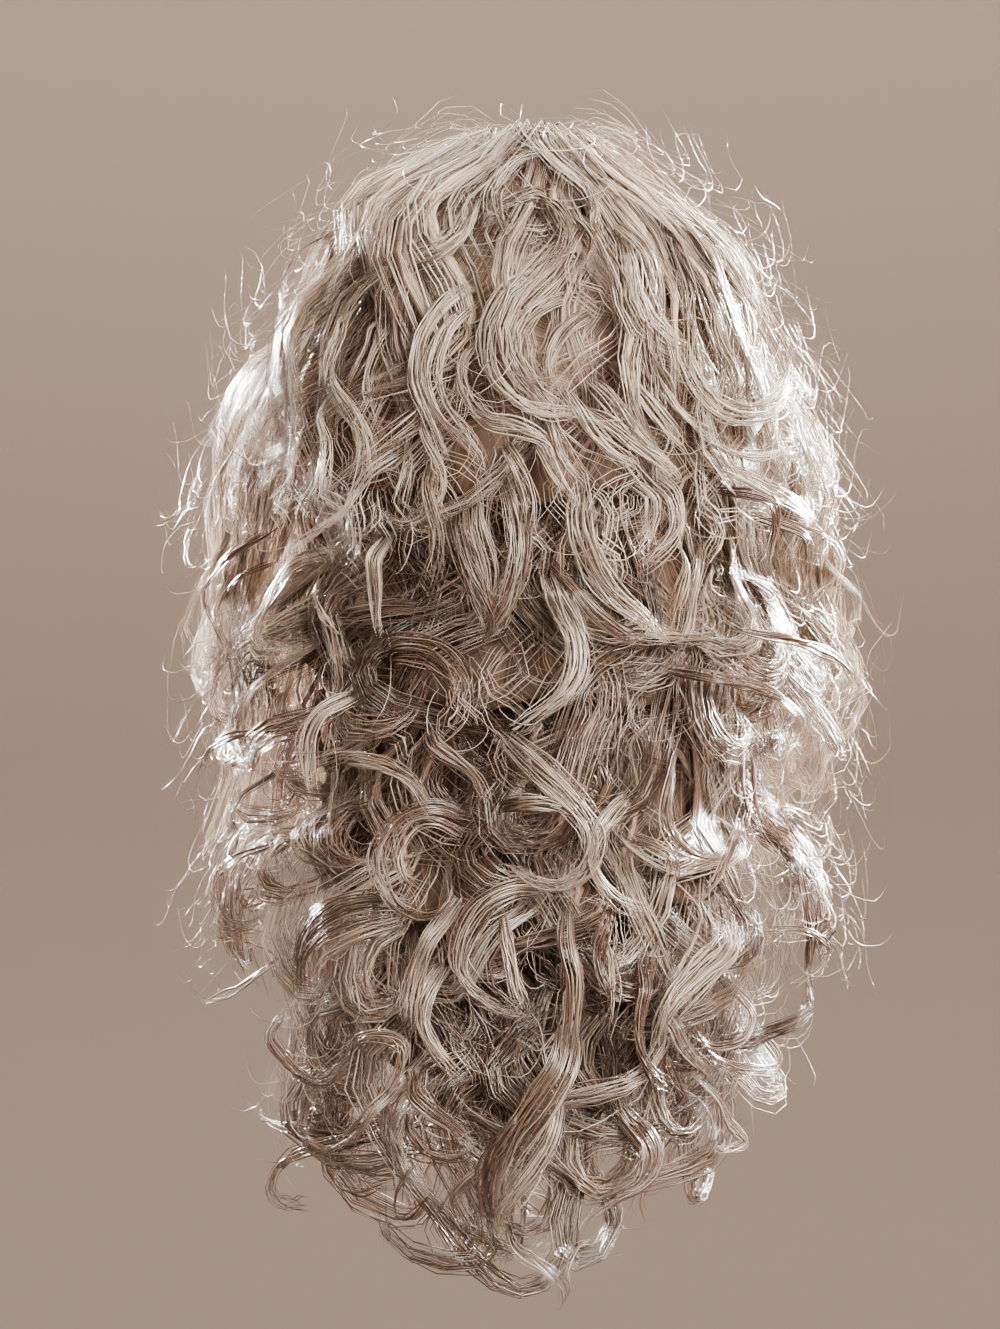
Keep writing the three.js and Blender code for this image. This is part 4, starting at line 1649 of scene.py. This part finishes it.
    def tufts(self) -> Guides:
        """Short tufts that fill in between the locks.

        Returns:
            Their guides.
        """
        tuft, count = TUFT, self.habit.tufts
        chance = np.random.default_rng(self.seed + self.TUFT_CHANCE)
        low, high = self.span_deg
        order = np.arange(count)
        spread = (order * tuft.round_step + chance.uniform(*tuft.uneven, count)) % 1.0
        azimuth = np.radians(low + (high - low) * spread)
        at, floor, room = self.starts(chance, azimuth, self.habit.hidden, (order * tuft.down_step) % 1.0)
        run = np.linspace(0.0, 1.0, tuft.points)[None, :]
        length = np.minimum(chance.uniform(*tuft.length, count), room)
        heading = column(chance, tuft.heading, count)
        bend = column(chance, tuft.bend, count)
        turns = column(chance, tuft.turns, count)
        swing = np.sin(2 * math.pi * run * turns + column(chance, (0, FULL_TURN), count))
        lift = column(chance, tuft.lift, count) + tuft.ripple * np.sin(run * tuft.ripple_turn)
        bearing = heading + bend * run + tuft.swing * swing
        centre, normal = self.trace(azimuth, at, length / (tuft.points - 1), bearing, lift, floor)
        tone = self.habit.pick_tones(chance, count, tuft.tone)
        side = unit(np.cross(normal, unit(np.gradient(centre, axis=1)))) * tuft.half_width
        first, rest = tuft.along
        along = np.repeat(first + rest * run, count, axis=0)
        girth = np.full((count, tuft.points), tuft.girth)
        strands = np.full(count, tuft.strands)
        return Guides(centre, side, normal * tuft.half_depth, tone, girth, strands, along)

    def loose(self) -> Guides:
        """Single hairs that stray over the locks and past the outline.

        Returns:
            Their guides.
        """
        hair, count = LOOSE_HAIR, self.habit.loose
        chance = np.random.default_rng(self.seed + self.LOOSE_CHANCE)
        low, high = self.span_deg
        edge = (high - low) * hair.edge
        spot = chance.uniform(low, high, count)
        at_low = chance.random(count) < 0.5
        from_low, from_high = chance.uniform(0, edge, count), chance.uniform(0, edge, count)
        sides = np.where(at_low, low + from_low, high - from_high)
        aside = chance.random(count) < hair.aside
        azimuth = np.radians(np.where(aside, sides, spot))
        at, floor, room = self.starts(chance, azimuth, self.habit.hidden * hair.top)
        run = np.linspace(0.0, 1.0, hair.points)[None, :]
        length = np.minimum(chance.uniform(*hair.length, count), room + hair.past_hem)
        heading = column(chance, hair.heading, count)
        bend = column(chance, hair.bend, count)
        hand = np.where(chance.random(count) < 0.5, -1.0, 1.0)[:, None]
        bearing = heading + bend * hand * run
        lift = column(chance, hair.lift, count)
        lift = lift + column(chance, hair.tip_lift, count) * run**hair.tip_power
        stray = np.where(aside, 1.0, hair.inner_stray) * chance.uniform(*hair.stray, count)
        lift = lift + stray[:, None] * np.sqrt(run)
        rooted = hair.root_lift + (1.0 - hair.root_lift) * smooth(0.0, hair.root_end, at)
        lift = lift * rooted[:, None]
        centre, normal = self.trace(azimuth, at, length / (hair.points - 1), bearing, lift, floor)
        tone = chance.uniform(*hair.tone, count)
        girth = np.full((count, hair.points), hair.girth)
        side = unit(np.cross(normal, unit(np.gradient(centre, axis=1)))) * hair.half_width
        first, rest = hair.along
        along = np.repeat(first + rest * run, count, axis=0)
        return Guides(centre, side, normal * hair.half_width, tone, girth, np.ones(count, dtype=int), along)

    @staticmethod
    def solid(name: str, form: Form, material: bpy.types.Material) -> bpy.types.Object:
        """A closed mesh object.

        Args:
            name: The object's name.
            form: The corners in metres, the faces, and each corner's place on the colour map.
            material: The object's material.

        Returns:
            The object.
        """
        corners, faces, places = form
        mesh = bpy.data.meshes.new(name)
        mesh.from_pydata(corners.tolist(), [], faces)
        mesh.materials.append(material)
        layer = mesh.uv_layers.new(name=UV_NAME)
        index = np.empty(len(mesh.loops), dtype=np.int32)
        mesh.loops.foreach_get("vertex_index", index)
        layer.data.foreach_set("uv", places[index].astype(np.float32).ravel())
        mesh.shade_smooth()
        made = bpy.data.objects.new(name, mesh)
        bpy.context.scene.collection.objects.link(made)
        return made

    def build(self, extra: Locks | None) -> list[bpy.types.Object]:
        """Builds and dresses the row, and lets it stand for its node.

        Args:
            extra: Locks laid over the row besides those that grow by its habit, if any.

        Returns:
            The row's pieces.
        """
        fibre, matte = self.finish.material(), self.finish.matte().material()
        grown, tree = self.grown(), StrandTree()
        pieces = [self.solid(f"{self.node}_locks", grown.cores(), matte)]
        if self.habit.bed:
            pieces.append(self.solid(f"{self.node}_under_hair", self.bed(), matte))
        guides = grown.guides(self.habit.hidden, self.habit.points)
        pieces.append(tree.lay(f"{self.node}_fibres", guides, fibre, self.seed, self.GROWN_TRIM))
        for name, locks, points in extra.by_length() if extra else ():
            guides = locks.guides(0.0, points)
            pieces.append(tree.lay(f"{self.node}_{name}", guides, fibre, self.seed + points))
        pieces.append(tree.lay(f"{self.node}_undercoat", self.tufts(), fibre, self.seed + self.TUFT_SEED))
        pieces.append(tree.lay(f"{self.node}_flyaways", self.loose(), fibre, self.seed + self.LOOSE_SEED))
        for piece in pieces:
            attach(piece, "root")
            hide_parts(self.node)
        return pieces


CROWN = HairRow(
    node="crown_hair",
    slot="crown_hair",
    start_deg=-88,
    end_deg=88,
    root=Root(half_width=14, depth=50),
    sections=(
        Section(15, 18, 40, 74, 17),
        Section(-14, -8, 76, 100, 20),
        Section(-52, -46, 105, 118, 20),
        Section(-100, -94, 131, 133, 18),
        Section(-136, -130, 143, 141, 15),
        Section(-166, -159, 149, 146, 16),
        Section(-200, -192, 152, 150, 14),
    ),
    habit=Habit(
        outer=30,
        inner=10,
        strands=26,
        width=(13, 26),
        length=(0.95, 1.2),
        wave_deg=(20, 48),
        wavelength=(120, 190),
        curl_deg=(60, 220),
        curl_length=(80, 140),
        lift=(0.05, 0.45),
        tones=((Tone.PALE, 5), (Tone.BEIGE, 3), (Tone.TAUPE, 1), (Tone.SILVER, 3), (Tone.ROSY, 0.5)),
        hidden=0.02,
        points=16,
        loose=480,
        tufts=340,
        bed=(0.06, 0.9),
        bed_tone=0.38,
    ),
    finish=HairFinish("crown_hair", root_shade=0.76, tip_shade=1.05, glow=0.45),
    seed=3,
)

UPPER = HairRow(
    node="upper_weft_hair",
    slot="upper_hair",
    start_deg=-88,
    end_deg=88,
    root=Root(z=-50),
    sections=(
        Section(-72, -72, 83, 102, 8),
        Section(-104, -104, 98, 111, 11),
        Section(-148, -148, 112, 114, 12),
        Section(-196, -192, 116, 114, 12),
        Section(-234, -230, 138, 133, 14),
        Section(-274, -268, 149, 149, 16),
        Section(-320, -312, 152, 156, 14),
    ),
    habit=Habit(
        outer=30,
        inner=8,
        strands=26,
        width=(12, 24),
        length=(1.05, 1.35),
        wave_deg=(28, 58),
        wavelength=(90, 150),
        curl_deg=(140, 360),
        curl_length=(100, 170),
        lift=(0.05, 0.5),
        tones=((Tone.TAUPE, 3), (Tone.BEIGE, 3), (Tone.ROSY, 2), (Tone.PALE, 1.5), (Tone.DEEP, 1)),
        hidden=0.36,
        points=17,
        loose=350,
        tufts=210,
        ragged=1.2,
        bed=(0.2, 0.84),
        bed_tone=0.08,
    ),
    finish=HairFinish("upper_hair", root_shade=0.7, tip_shade=0.95, glow=0.4),
    seed=5,
)

MIDDLE = HairRow(
    node="middle_weft_hair",
    slot="middle_hair",
    start_deg=-88,
    end_deg=88,
    root=Root(z=-102),
    sections=(
        Section(-126, -126, 83, 101, 5),
        Section(-152, -152, 86, 98.5, 7),
        Section(-194, -192, 92, 97, 9),
        Section(-236, -232, 107, 106, 10),
        Section(-310, -304, 117, 117, 11),
        Section(-346, -328, 138, 143, 13),
        Section(-390, -358, 149, 160, 16),
        Section(-434, -390, 147, 167, 14),
    ),
    habit=Habit(
        outer=30,
        inner=5,
        strands=26,
        width=(11, 22),
        length=(1.05, 1.35),
        wave_deg=(30, 60),
        wavelength=(80, 130),
        curl_deg=(160, 370),
        curl_length=(130, 200),
        lift=(0.05, 0.5),
        tones=((Tone.TAUPE, 3), (Tone.BEIGE, 2), (Tone.ROSY, 2.5), (Tone.PALE, 1), (Tone.DEEP, 1.5)),
        hidden=0.5,
        points=17,
        loose=300,
        tufts=200,
        ragged=1.2,
        bed=(0.25, 0.84),
    ),
    # Painted shade: the low root and tip shades darken this lower row.
    finish=HairFinish("middle_hair", root_shade=0.6, tip_shade=0.8, glow=0.17),
    seed=8,
)

NAPE = HairRow(
    node="nape_weft_hair",
    slot="nape_hair",
    start_deg=-60,
    end_deg=60,
    root=Root(z=-146),
    sections=(
        Section(-170, -170, 71, 87, 4),
        Section(-240, -240, 81, 89, 8),
        Section(-310, -310, 96, 98, 10),
        Section(-370, -364, 110, 118, 11),
        Section(-424, -404, 120, 134, 13),
        Section(-468, -438, 126, 158, 16),
        Section(-526, -480, 118, 168, 14),
    ),
    habit=Habit(
        outer=29,
        inner=8,
        strands=24,
        width=(10, 20),
        length=(1.1, 1.4),
        wave_deg=(30, 60),
        wavelength=(80, 130),
        curl_deg=(160, 370),
        curl_length=(130, 200),
        lift=(0.05, 0.5),
        tones=((Tone.TAUPE, 3), (Tone.BEIGE, 1), (Tone.ROSY, 3), (Tone.PALE, 0.2), (Tone.DEEP, 2.5)),
        hidden=0.5,
        points=17,
        loose=220,
        tufts=190,
        ragged=1.0,
        slant=0.9,
        bed=(0.25, 0.86),
    ),
    # Painted shade: the low root and tip shades darken this lowest row.
    finish=HairFinish("nape_hair", root_shade=0.6, tip_shade=0.66, glow=0.12),
    seed=13,
)


def front_row(side: int) -> HairRow:
    """The row at one side of the face opening.

    Args:
        side: 1 for the wearer's right, -1 for the left.

    Returns:
        The row.
    """
    return HairRow(
        node="front_hair_right" if side > 0 else "front_hair_left",
        slot="front_hair",
        start_deg=94 * side,
        end_deg=150 * side,
        root=Root(half_width=9, depth=80),
        sections=(
            Section(14, -12, 42, 87, 13),
            Section(-20, -42, 84, 96, 17),
            Section(-68, -82, 118, 100, 19),
            Section(-128, -134, 145, 99, 19),
            Section(-190, -190, 156, 97, 18),
            Section(-250, -246, 158, 96, 16),
            Section(-308, -298, 156, 94, 14),
            Section(-358, -340, 151, 92, 12),
        ),
        habit=Habit(
            outer=26,
            inner=8,
            strands=20,
            width=(9, 17),
            length=(1.0, 1.3),
            wave_deg=(25, 55),
            wavelength=(90, 150),
            curl_deg=(140, 380),
            curl_length=(100, 170),
            lift=(0.05, 0.45),
            tones=((Tone.PALE, 2), (Tone.SILVER, 5), (Tone.BEIGE, 1)),
            hidden=0.02,
            points=18,
            loose=160,
            tufts=50,
        ),
        finish=HairFinish("front_hair", root_shade=0.9, tip_shade=1.0, glow=0.92),
        seed=21 if side > 0 else 27,
    )


def drawn(tone: Tone, width: float, *path: Span) -> DrawnLock:
    """A lock drawn over the picture."""
    return DrawnLock(path, width, tone)


deep, rosy, taupe, beige, pale, silver = (partial(drawn, tone) for tone in Tone)

DRAWN_LOCKS: tuple[DrawnLock, ...] = (
    pale(22, (462, 165), (471, 200), (467, 230), (448, 252), (420, 266), (394, 275), (368, 292), (348, 316)),
    beige(14, (436, 182), (454, 204), (452, 232), (430, 252), (400, 262), (372, 280), (350, 300)),
    pale(14, (500, 262), (470, 280), (441, 310), (425, 340), (420, 375), (428, 410), (445, 450), (462, 486)),
    pale(18, (482, 286), (455, 320), (440, 355), (437, 385), (448, 415), (470, 442), (492, 474)),
    pale(28, (302, 366), (330, 384), (352, 410), (365, 440), (368, 470), (360, 500), (343, 518)),
    silver(14, (316, 380), (322, 420), (331, 450), (326, 490), (308, 514)),
    pale(10, (316, 296), (317, 320), (312, 345), (298, 372)),
    pale(14, (347, 296), (343, 330), (336, 360), (328, 390)),
    beige(10, (378, 306), (372, 335), (362, 365), (350, 396)),
    silver(22, (500, 142), (440, 150), (400, 175), (360, 205), (330, 236), (310, 270), (298, 306)),
    pale(18, (476, 158), (420, 185), (380, 220), (350, 260), (334, 304)),
    taupe(10, (330, 210), (300, 260), (288, 310), (284, 346), (296, 380)),
    silver(
        18, (572, 268), (540, 275), (510, 291), (492, 320),
        (487, 350), (495, 380), (515, 400), (545, 412), (578, 410),
    ),
    pale(14, (594, 284), (550, 300), (521, 325), (512, 350), (518, 375), (535, 395), (562, 408)),
    beige(14, (604, 308), (571, 325), (553, 350), (550, 380), (561, 402)),
    taupe(12, (520, 186), (552, 206), (565, 232), (556, 258), (528, 278)),
    taupe(12, (560, 190), (520, 196), (492, 216), (486, 244)),
    beige(12, (456, 182), (486, 158), (524, 152), (562, 160), (598, 186)),
    pale(12, (600, 168), (562, 152), (520, 160), (494, 184), (490, 216)),
    beige(10, (532, 150), (572, 172), (592, 212), (588, 256), (566, 284)),
    taupe(10, (508, 160), (500, 200), (514, 240), (546, 266)),
    beige(12, (540, 146), (496, 160), (462, 186), (446, 222), (452, 262)),
    pale(12, (598, 188), (630, 230), (650, 265), (658, 300), (652, 340), (648, 380), (656, 420), (682, 452)),
    beige(12, (560, 190), (592, 232), (612, 270), (622, 310), (618, 350)),
    silver(
        24, (671, 284), (675, 330), (683, 365), (701, 395),
        (731, 412), (761, 410), (780, 390), (786, 360), (774, 338),
    ),
    pale(10, (704, 284), (708, 320), (718, 345), (730, 370), (737, 394)),
    silver(18, (556, 144), (610, 160), (650, 190), (680, 220), (710, 250), (738, 272)),
    silver(
        18, (600, 186), (650, 197), (690, 225), (720, 255),
        (741, 290), (756, 330), (777, 362), (802, 406),
    ),
    pale(14, (572, 400), (600, 420), (640, 450), (670, 475), (682, 506)),
    pale(10, (656, 396), (690, 420), (715, 446), (745, 456), (776, 450), (792, 428)),
    beige(16, (694, 452), (730, 470), (764, 492), (800, 512), (826, 544)),
    pale(9, (408, 392), (430, 440), (446, 475), (440, 500), (415, 520), (390, 518), (368, 498)),
    pale(9, (408, 436), (380, 465), (360, 490), (345, 510), (320, 530), (300, 545), (284, 562)),
    rosy(24, (448, 486), (462, 545), (480, 590), (490, 625), (474, 660)),
    taupe(24, (498, 448), (515, 500), (520, 550), (510, 600), (488, 642)),
    pale(12, (470, 490), (484, 540), (492, 580), (486, 622)),
    rosy(28, (372, 668), (398, 650), (434, 655), (460, 680), (466, 710)),
    deep(8, (268, 510), (235, 555), (215, 592), (218, 625), (235, 660), (257, 684)),
    deep(6, (272, 552), (245, 575), (225, 602), (232, 640), (252, 668)),
    taupe(14, (334, 548), (300, 560), (275, 590), (265, 630), (277, 664)),
    beige(14, (376, 528), (378, 570), (378, 610), (386, 644)),
    beige(8, (304, 572), (330, 615), (347, 644)),
    pale(16, (356, 686), (326, 714), (312, 745), (310, 776), (320, 806)),
    beige(16, (312, 774), (345, 758), (385, 764), (416, 784), (438, 818)),
    beige(14, (414, 730), (450, 754), (476, 775), (494, 806)),
    pale(12, (546, 404), (556, 440), (571, 470), (594, 494)),
    silver(14, (560, 376), (585, 418), (612, 450), (648, 474)),
    pale(14, (588, 366), (612, 406), (640, 438), (670, 460)),
    pale(12, (612, 352), (640, 396), (668, 430), (702, 456)),
    silver(14, (640, 346), (662, 388), (690, 422), (724, 442)),
    pale(12, (530, 416), (546, 452), (564, 486), (588, 514)),
    beige(12, (496, 436), (518, 466), (530, 504), (522, 544)),
    pale(14, (462, 400), (488, 420), (520, 428), (548, 444), (560, 476)),
    beige(14, (474, 330), (462, 366), (470, 402), (494, 430)),
    pale(12, (530, 330), (528, 364), (540, 392), (566, 412)),
    beige(10, (400, 300), (384, 340), (372, 380), (378, 420), (398, 452)),
    taupe(12, (420, 452), (432, 500), (440, 545), (430, 590)),
    pale(16, (650, 460), (672, 495), (672, 530), (650, 560), (626, 578)),
    pale(12, (634, 474), (650, 505), (645, 535), (622, 557)),
    pale(24, (590, 478), (580, 520), (590, 555), (611, 590), (641, 616), (668, 646)),
    rosy(14, (550, 556), (575, 590), (600, 620), (630, 640), (664, 652)),
    pale(14, (547, 568), (556, 605), (570, 630), (587, 654)),
    taupe(14, (694, 538), (683, 575), (672, 605), (664, 644)),
    deep(9, (728, 490), (762, 500), (771, 530), (760, 570), (743, 598)),
    rosy(7, (772, 512), (800, 540), (803, 580), (788, 612)),
    rosy(6, (788, 508), (820, 535), (829, 561), (816, 590), (798, 602)),
    rosy(12, (674, 668), (720, 680), (760, 690), (790, 710), (801, 744)),
    taupe(9, (750, 628), (790, 640), (830, 660), (844, 690), (834, 734)),
    silver(26, (556, 590), (575, 640), (572, 680), (545, 710), (512, 730)),
    pale(24, (486, 724), (536, 768), (574, 805), (591, 835), (584, 865), (560, 883), (534, 880), (510, 864)),
    beige(14, (494, 812), (525, 802), (556, 805), (582, 824)),
    taupe(
        14, (474, 834), (450, 812), (425, 806), (398, 820),
        (382, 850), (385, 880), (400, 905), (425, 915), (452, 904),
    ),
    beige(10, (466, 846), (440, 823), (414, 826), (400, 852), (410, 880), (434, 890)),
    rosy(30, (406, 912), (366, 905), (330, 920), (308, 950), (303, 985), (314, 1022)),
    pale(14, (398, 922), (360, 935), (331, 955), (320, 985), (331, 1018)),
    beige(12, (404, 926), (380, 945), (372, 975), (381, 1014)),
    pale(18, (452, 900), (430, 940), (415, 975), (410, 1010), (419, 1050)),
    pale(16, (442, 960), (428, 990), (425, 1020), (440, 1050), (465, 1080), (494, 1090)),
    beige(
        20, (560, 896), (520, 890), (485, 905), (465, 935),
        (460, 965), (475, 990), (505, 1010), (534, 1020),
    ),
    pale(14, (498, 912), (508, 950), (515, 985), (531, 1024)),
    pale(10, (345, 1066), (355, 1042), (383, 1034), (405, 1046), (401, 1075), (385, 1104)),
    taupe(18, (264, 1002), (281, 1045), (306, 1074), (336, 1080), (354, 1058)),
    pale(5, (280, 934), (262, 970), (240, 990), (215, 1000), (195, 980), (190, 955), (201, 932)),
    deep(5, (266, 840), (232, 864), (222, 890), (235, 915), (258, 932)),
    deep(6, (268, 728), (230, 740), (205, 762), (194, 794)),
    deep(6, (254, 770), (240, 810), (246, 840), (226, 856)),
    pale(16, (646, 796), (611, 814), (595, 835), (590, 860), (601, 886), (625, 905), (654, 904)),
    beige(10, (632, 836), (664, 850), (673, 871), (654, 892)),
    beige(14, (696, 752), (667, 788), (665, 825), (685, 850), (715, 858), (744, 848)),
    taupe(9, (766, 818), (735, 830), (725, 856), (715, 880), (695, 895), (677, 884)),
    pale(7, (684, 874), (695, 910), (690, 940), (675, 970), (652, 994)),
    pale(30, (750, 908), (730, 945), (700, 970), (671, 1000), (656, 1035), (662, 1070)),
    taupe(16, (654, 950), (640, 1000), (635, 1040), (645, 1070), (670, 1088)),
    pale(16, (668, 998), (680, 1040), (700, 1070), (724, 1088)),
    beige(9, (738, 978), (750, 1010), (735, 1040), (706, 1046), (688, 1020)),
    pale(11, (782, 1022), (775, 1060), (755, 1070), (725, 1065), (702, 1048)),
    taupe(7, (770, 934), (800, 930), (819, 945), (815, 970), (786, 988)),
    taupe(
        5, (836, 762), (801, 745), (780, 760), (773, 790),
        (785, 820), (805, 855), (821, 850), (815, 820), (798, 792),
    ),
    pale(7, (598, 922), (612, 960), (612, 1000), (603, 1036)),
    beige(16, (576, 898), (568, 940), (575, 980), (570, 1030), (563, 1084)),
    rosy(12, (622, 900), (600, 930), (598, 970), (611, 1006)),
    beige(30, (571, 1000), (565, 1056), (541, 1100), (516, 1140), (501, 1180), (505, 1220), (527, 1248)),
    pale(16, (568, 1080), (555, 1130), (535, 1165), (511, 1195), (500, 1220), (510, 1245), (540, 1257)),
    rosy(14, (544, 1084), (511, 1130), (491, 1160), (485, 1200), (494, 1240)),
    taupe(24, (638, 1112), (648, 1150), (635, 1180), (606, 1200), (586, 1218)),
    pale(10, (632, 1120), (640, 1154), (622, 1180), (600, 1192)),
    taupe(7, (498, 1206), (515, 1245), (545, 1265), (561, 1285), (556, 1304), (536, 1300)),
    pale(12, (352, 1136), (310, 1150), (281, 1166), (275, 1190), (295, 1205), (324, 1200)),
    pale(10, (388, 1080), (371, 1120), (345, 1142), (308, 1154)),
    rosy(4, (338, 1150), (345, 1180), (370, 1190), (398, 1180)),
    rosy(3, (404, 1156), (396, 1205), (410, 1216), (430, 1200), (458, 1178)),
    taupe(9, (480, 1126), (490, 1160), (466, 1184), (455, 1200), (465, 1220), (483, 1220)),
    beige(16, (396, 1074), (430, 1110), (460, 1130), (484, 1154)),
    beige(10, (392, 1104), (420, 1140), (455, 1155), (489, 1138)),
    pale(12, (698, 1060), (710, 1090), (726, 1120), (741, 1142), (712, 1150), (688, 1128)),
    pale(3, (604, 1246), (580, 1240), (563, 1260), (562, 1284)),
    taupe(7, (246, 1090), (270, 1120), (310, 1130), (349, 1112)),
)

# The lowest mean height, in millimetres, of the drawn locks that hang from a row, and the row of all below.
ROW_FLOORS = {"crown_hair": -190.0, "upper_weft_hair": -310.0, "middle_weft_hair": -420.0}
LOWEST_ROW = "nape_weft_hair"


def sort_drawn(view: Viewpoint, outside: Outside) -> dict[str, Locks]:
    """The drawn locks, sorted by the row that they hang from.

    Args:
        view: The camera that they were drawn in.
        outside: The form that they lie on.

    Returns:
        Locks for each row's node.
    """
    found: dict[str, list[DrawnLock]] = {}
    for lock in DRAWN_LOCKS:
        height = float(lock.line(view, outside)[0][:, 2].mean())
        node = next((name for name, floor in ROW_FLOORS.items() if height > floor), LOWEST_ROW)
        found.setdefault(node, []).append(lock)
    return {node: DrawnLock.laid(locks, view, outside) for node, locks in found.items()}


def main() -> None:
    """Builds the wig piece by piece, and the studio round it."""
    logging.basicConfig(level=logging.INFO, format="%(name)s %(message)s")
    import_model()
    view = Viewpoint()
    view.make()
    Studio().make()
    cap = Cap()
    cap.dress()
    LOG.info("%s: knitted net", cap.node)
    by_row = sort_drawn(view, Outside())
    for row in (CROWN, UPPER, MIDDLE, NAPE, front_row(1), front_row(-1)):
        for piece in row.build(by_row.get(row.node)):
            LOG.info("%s: %d triangles", piece.name, triangles(piece))


if __name__ == "__main__":
    main()
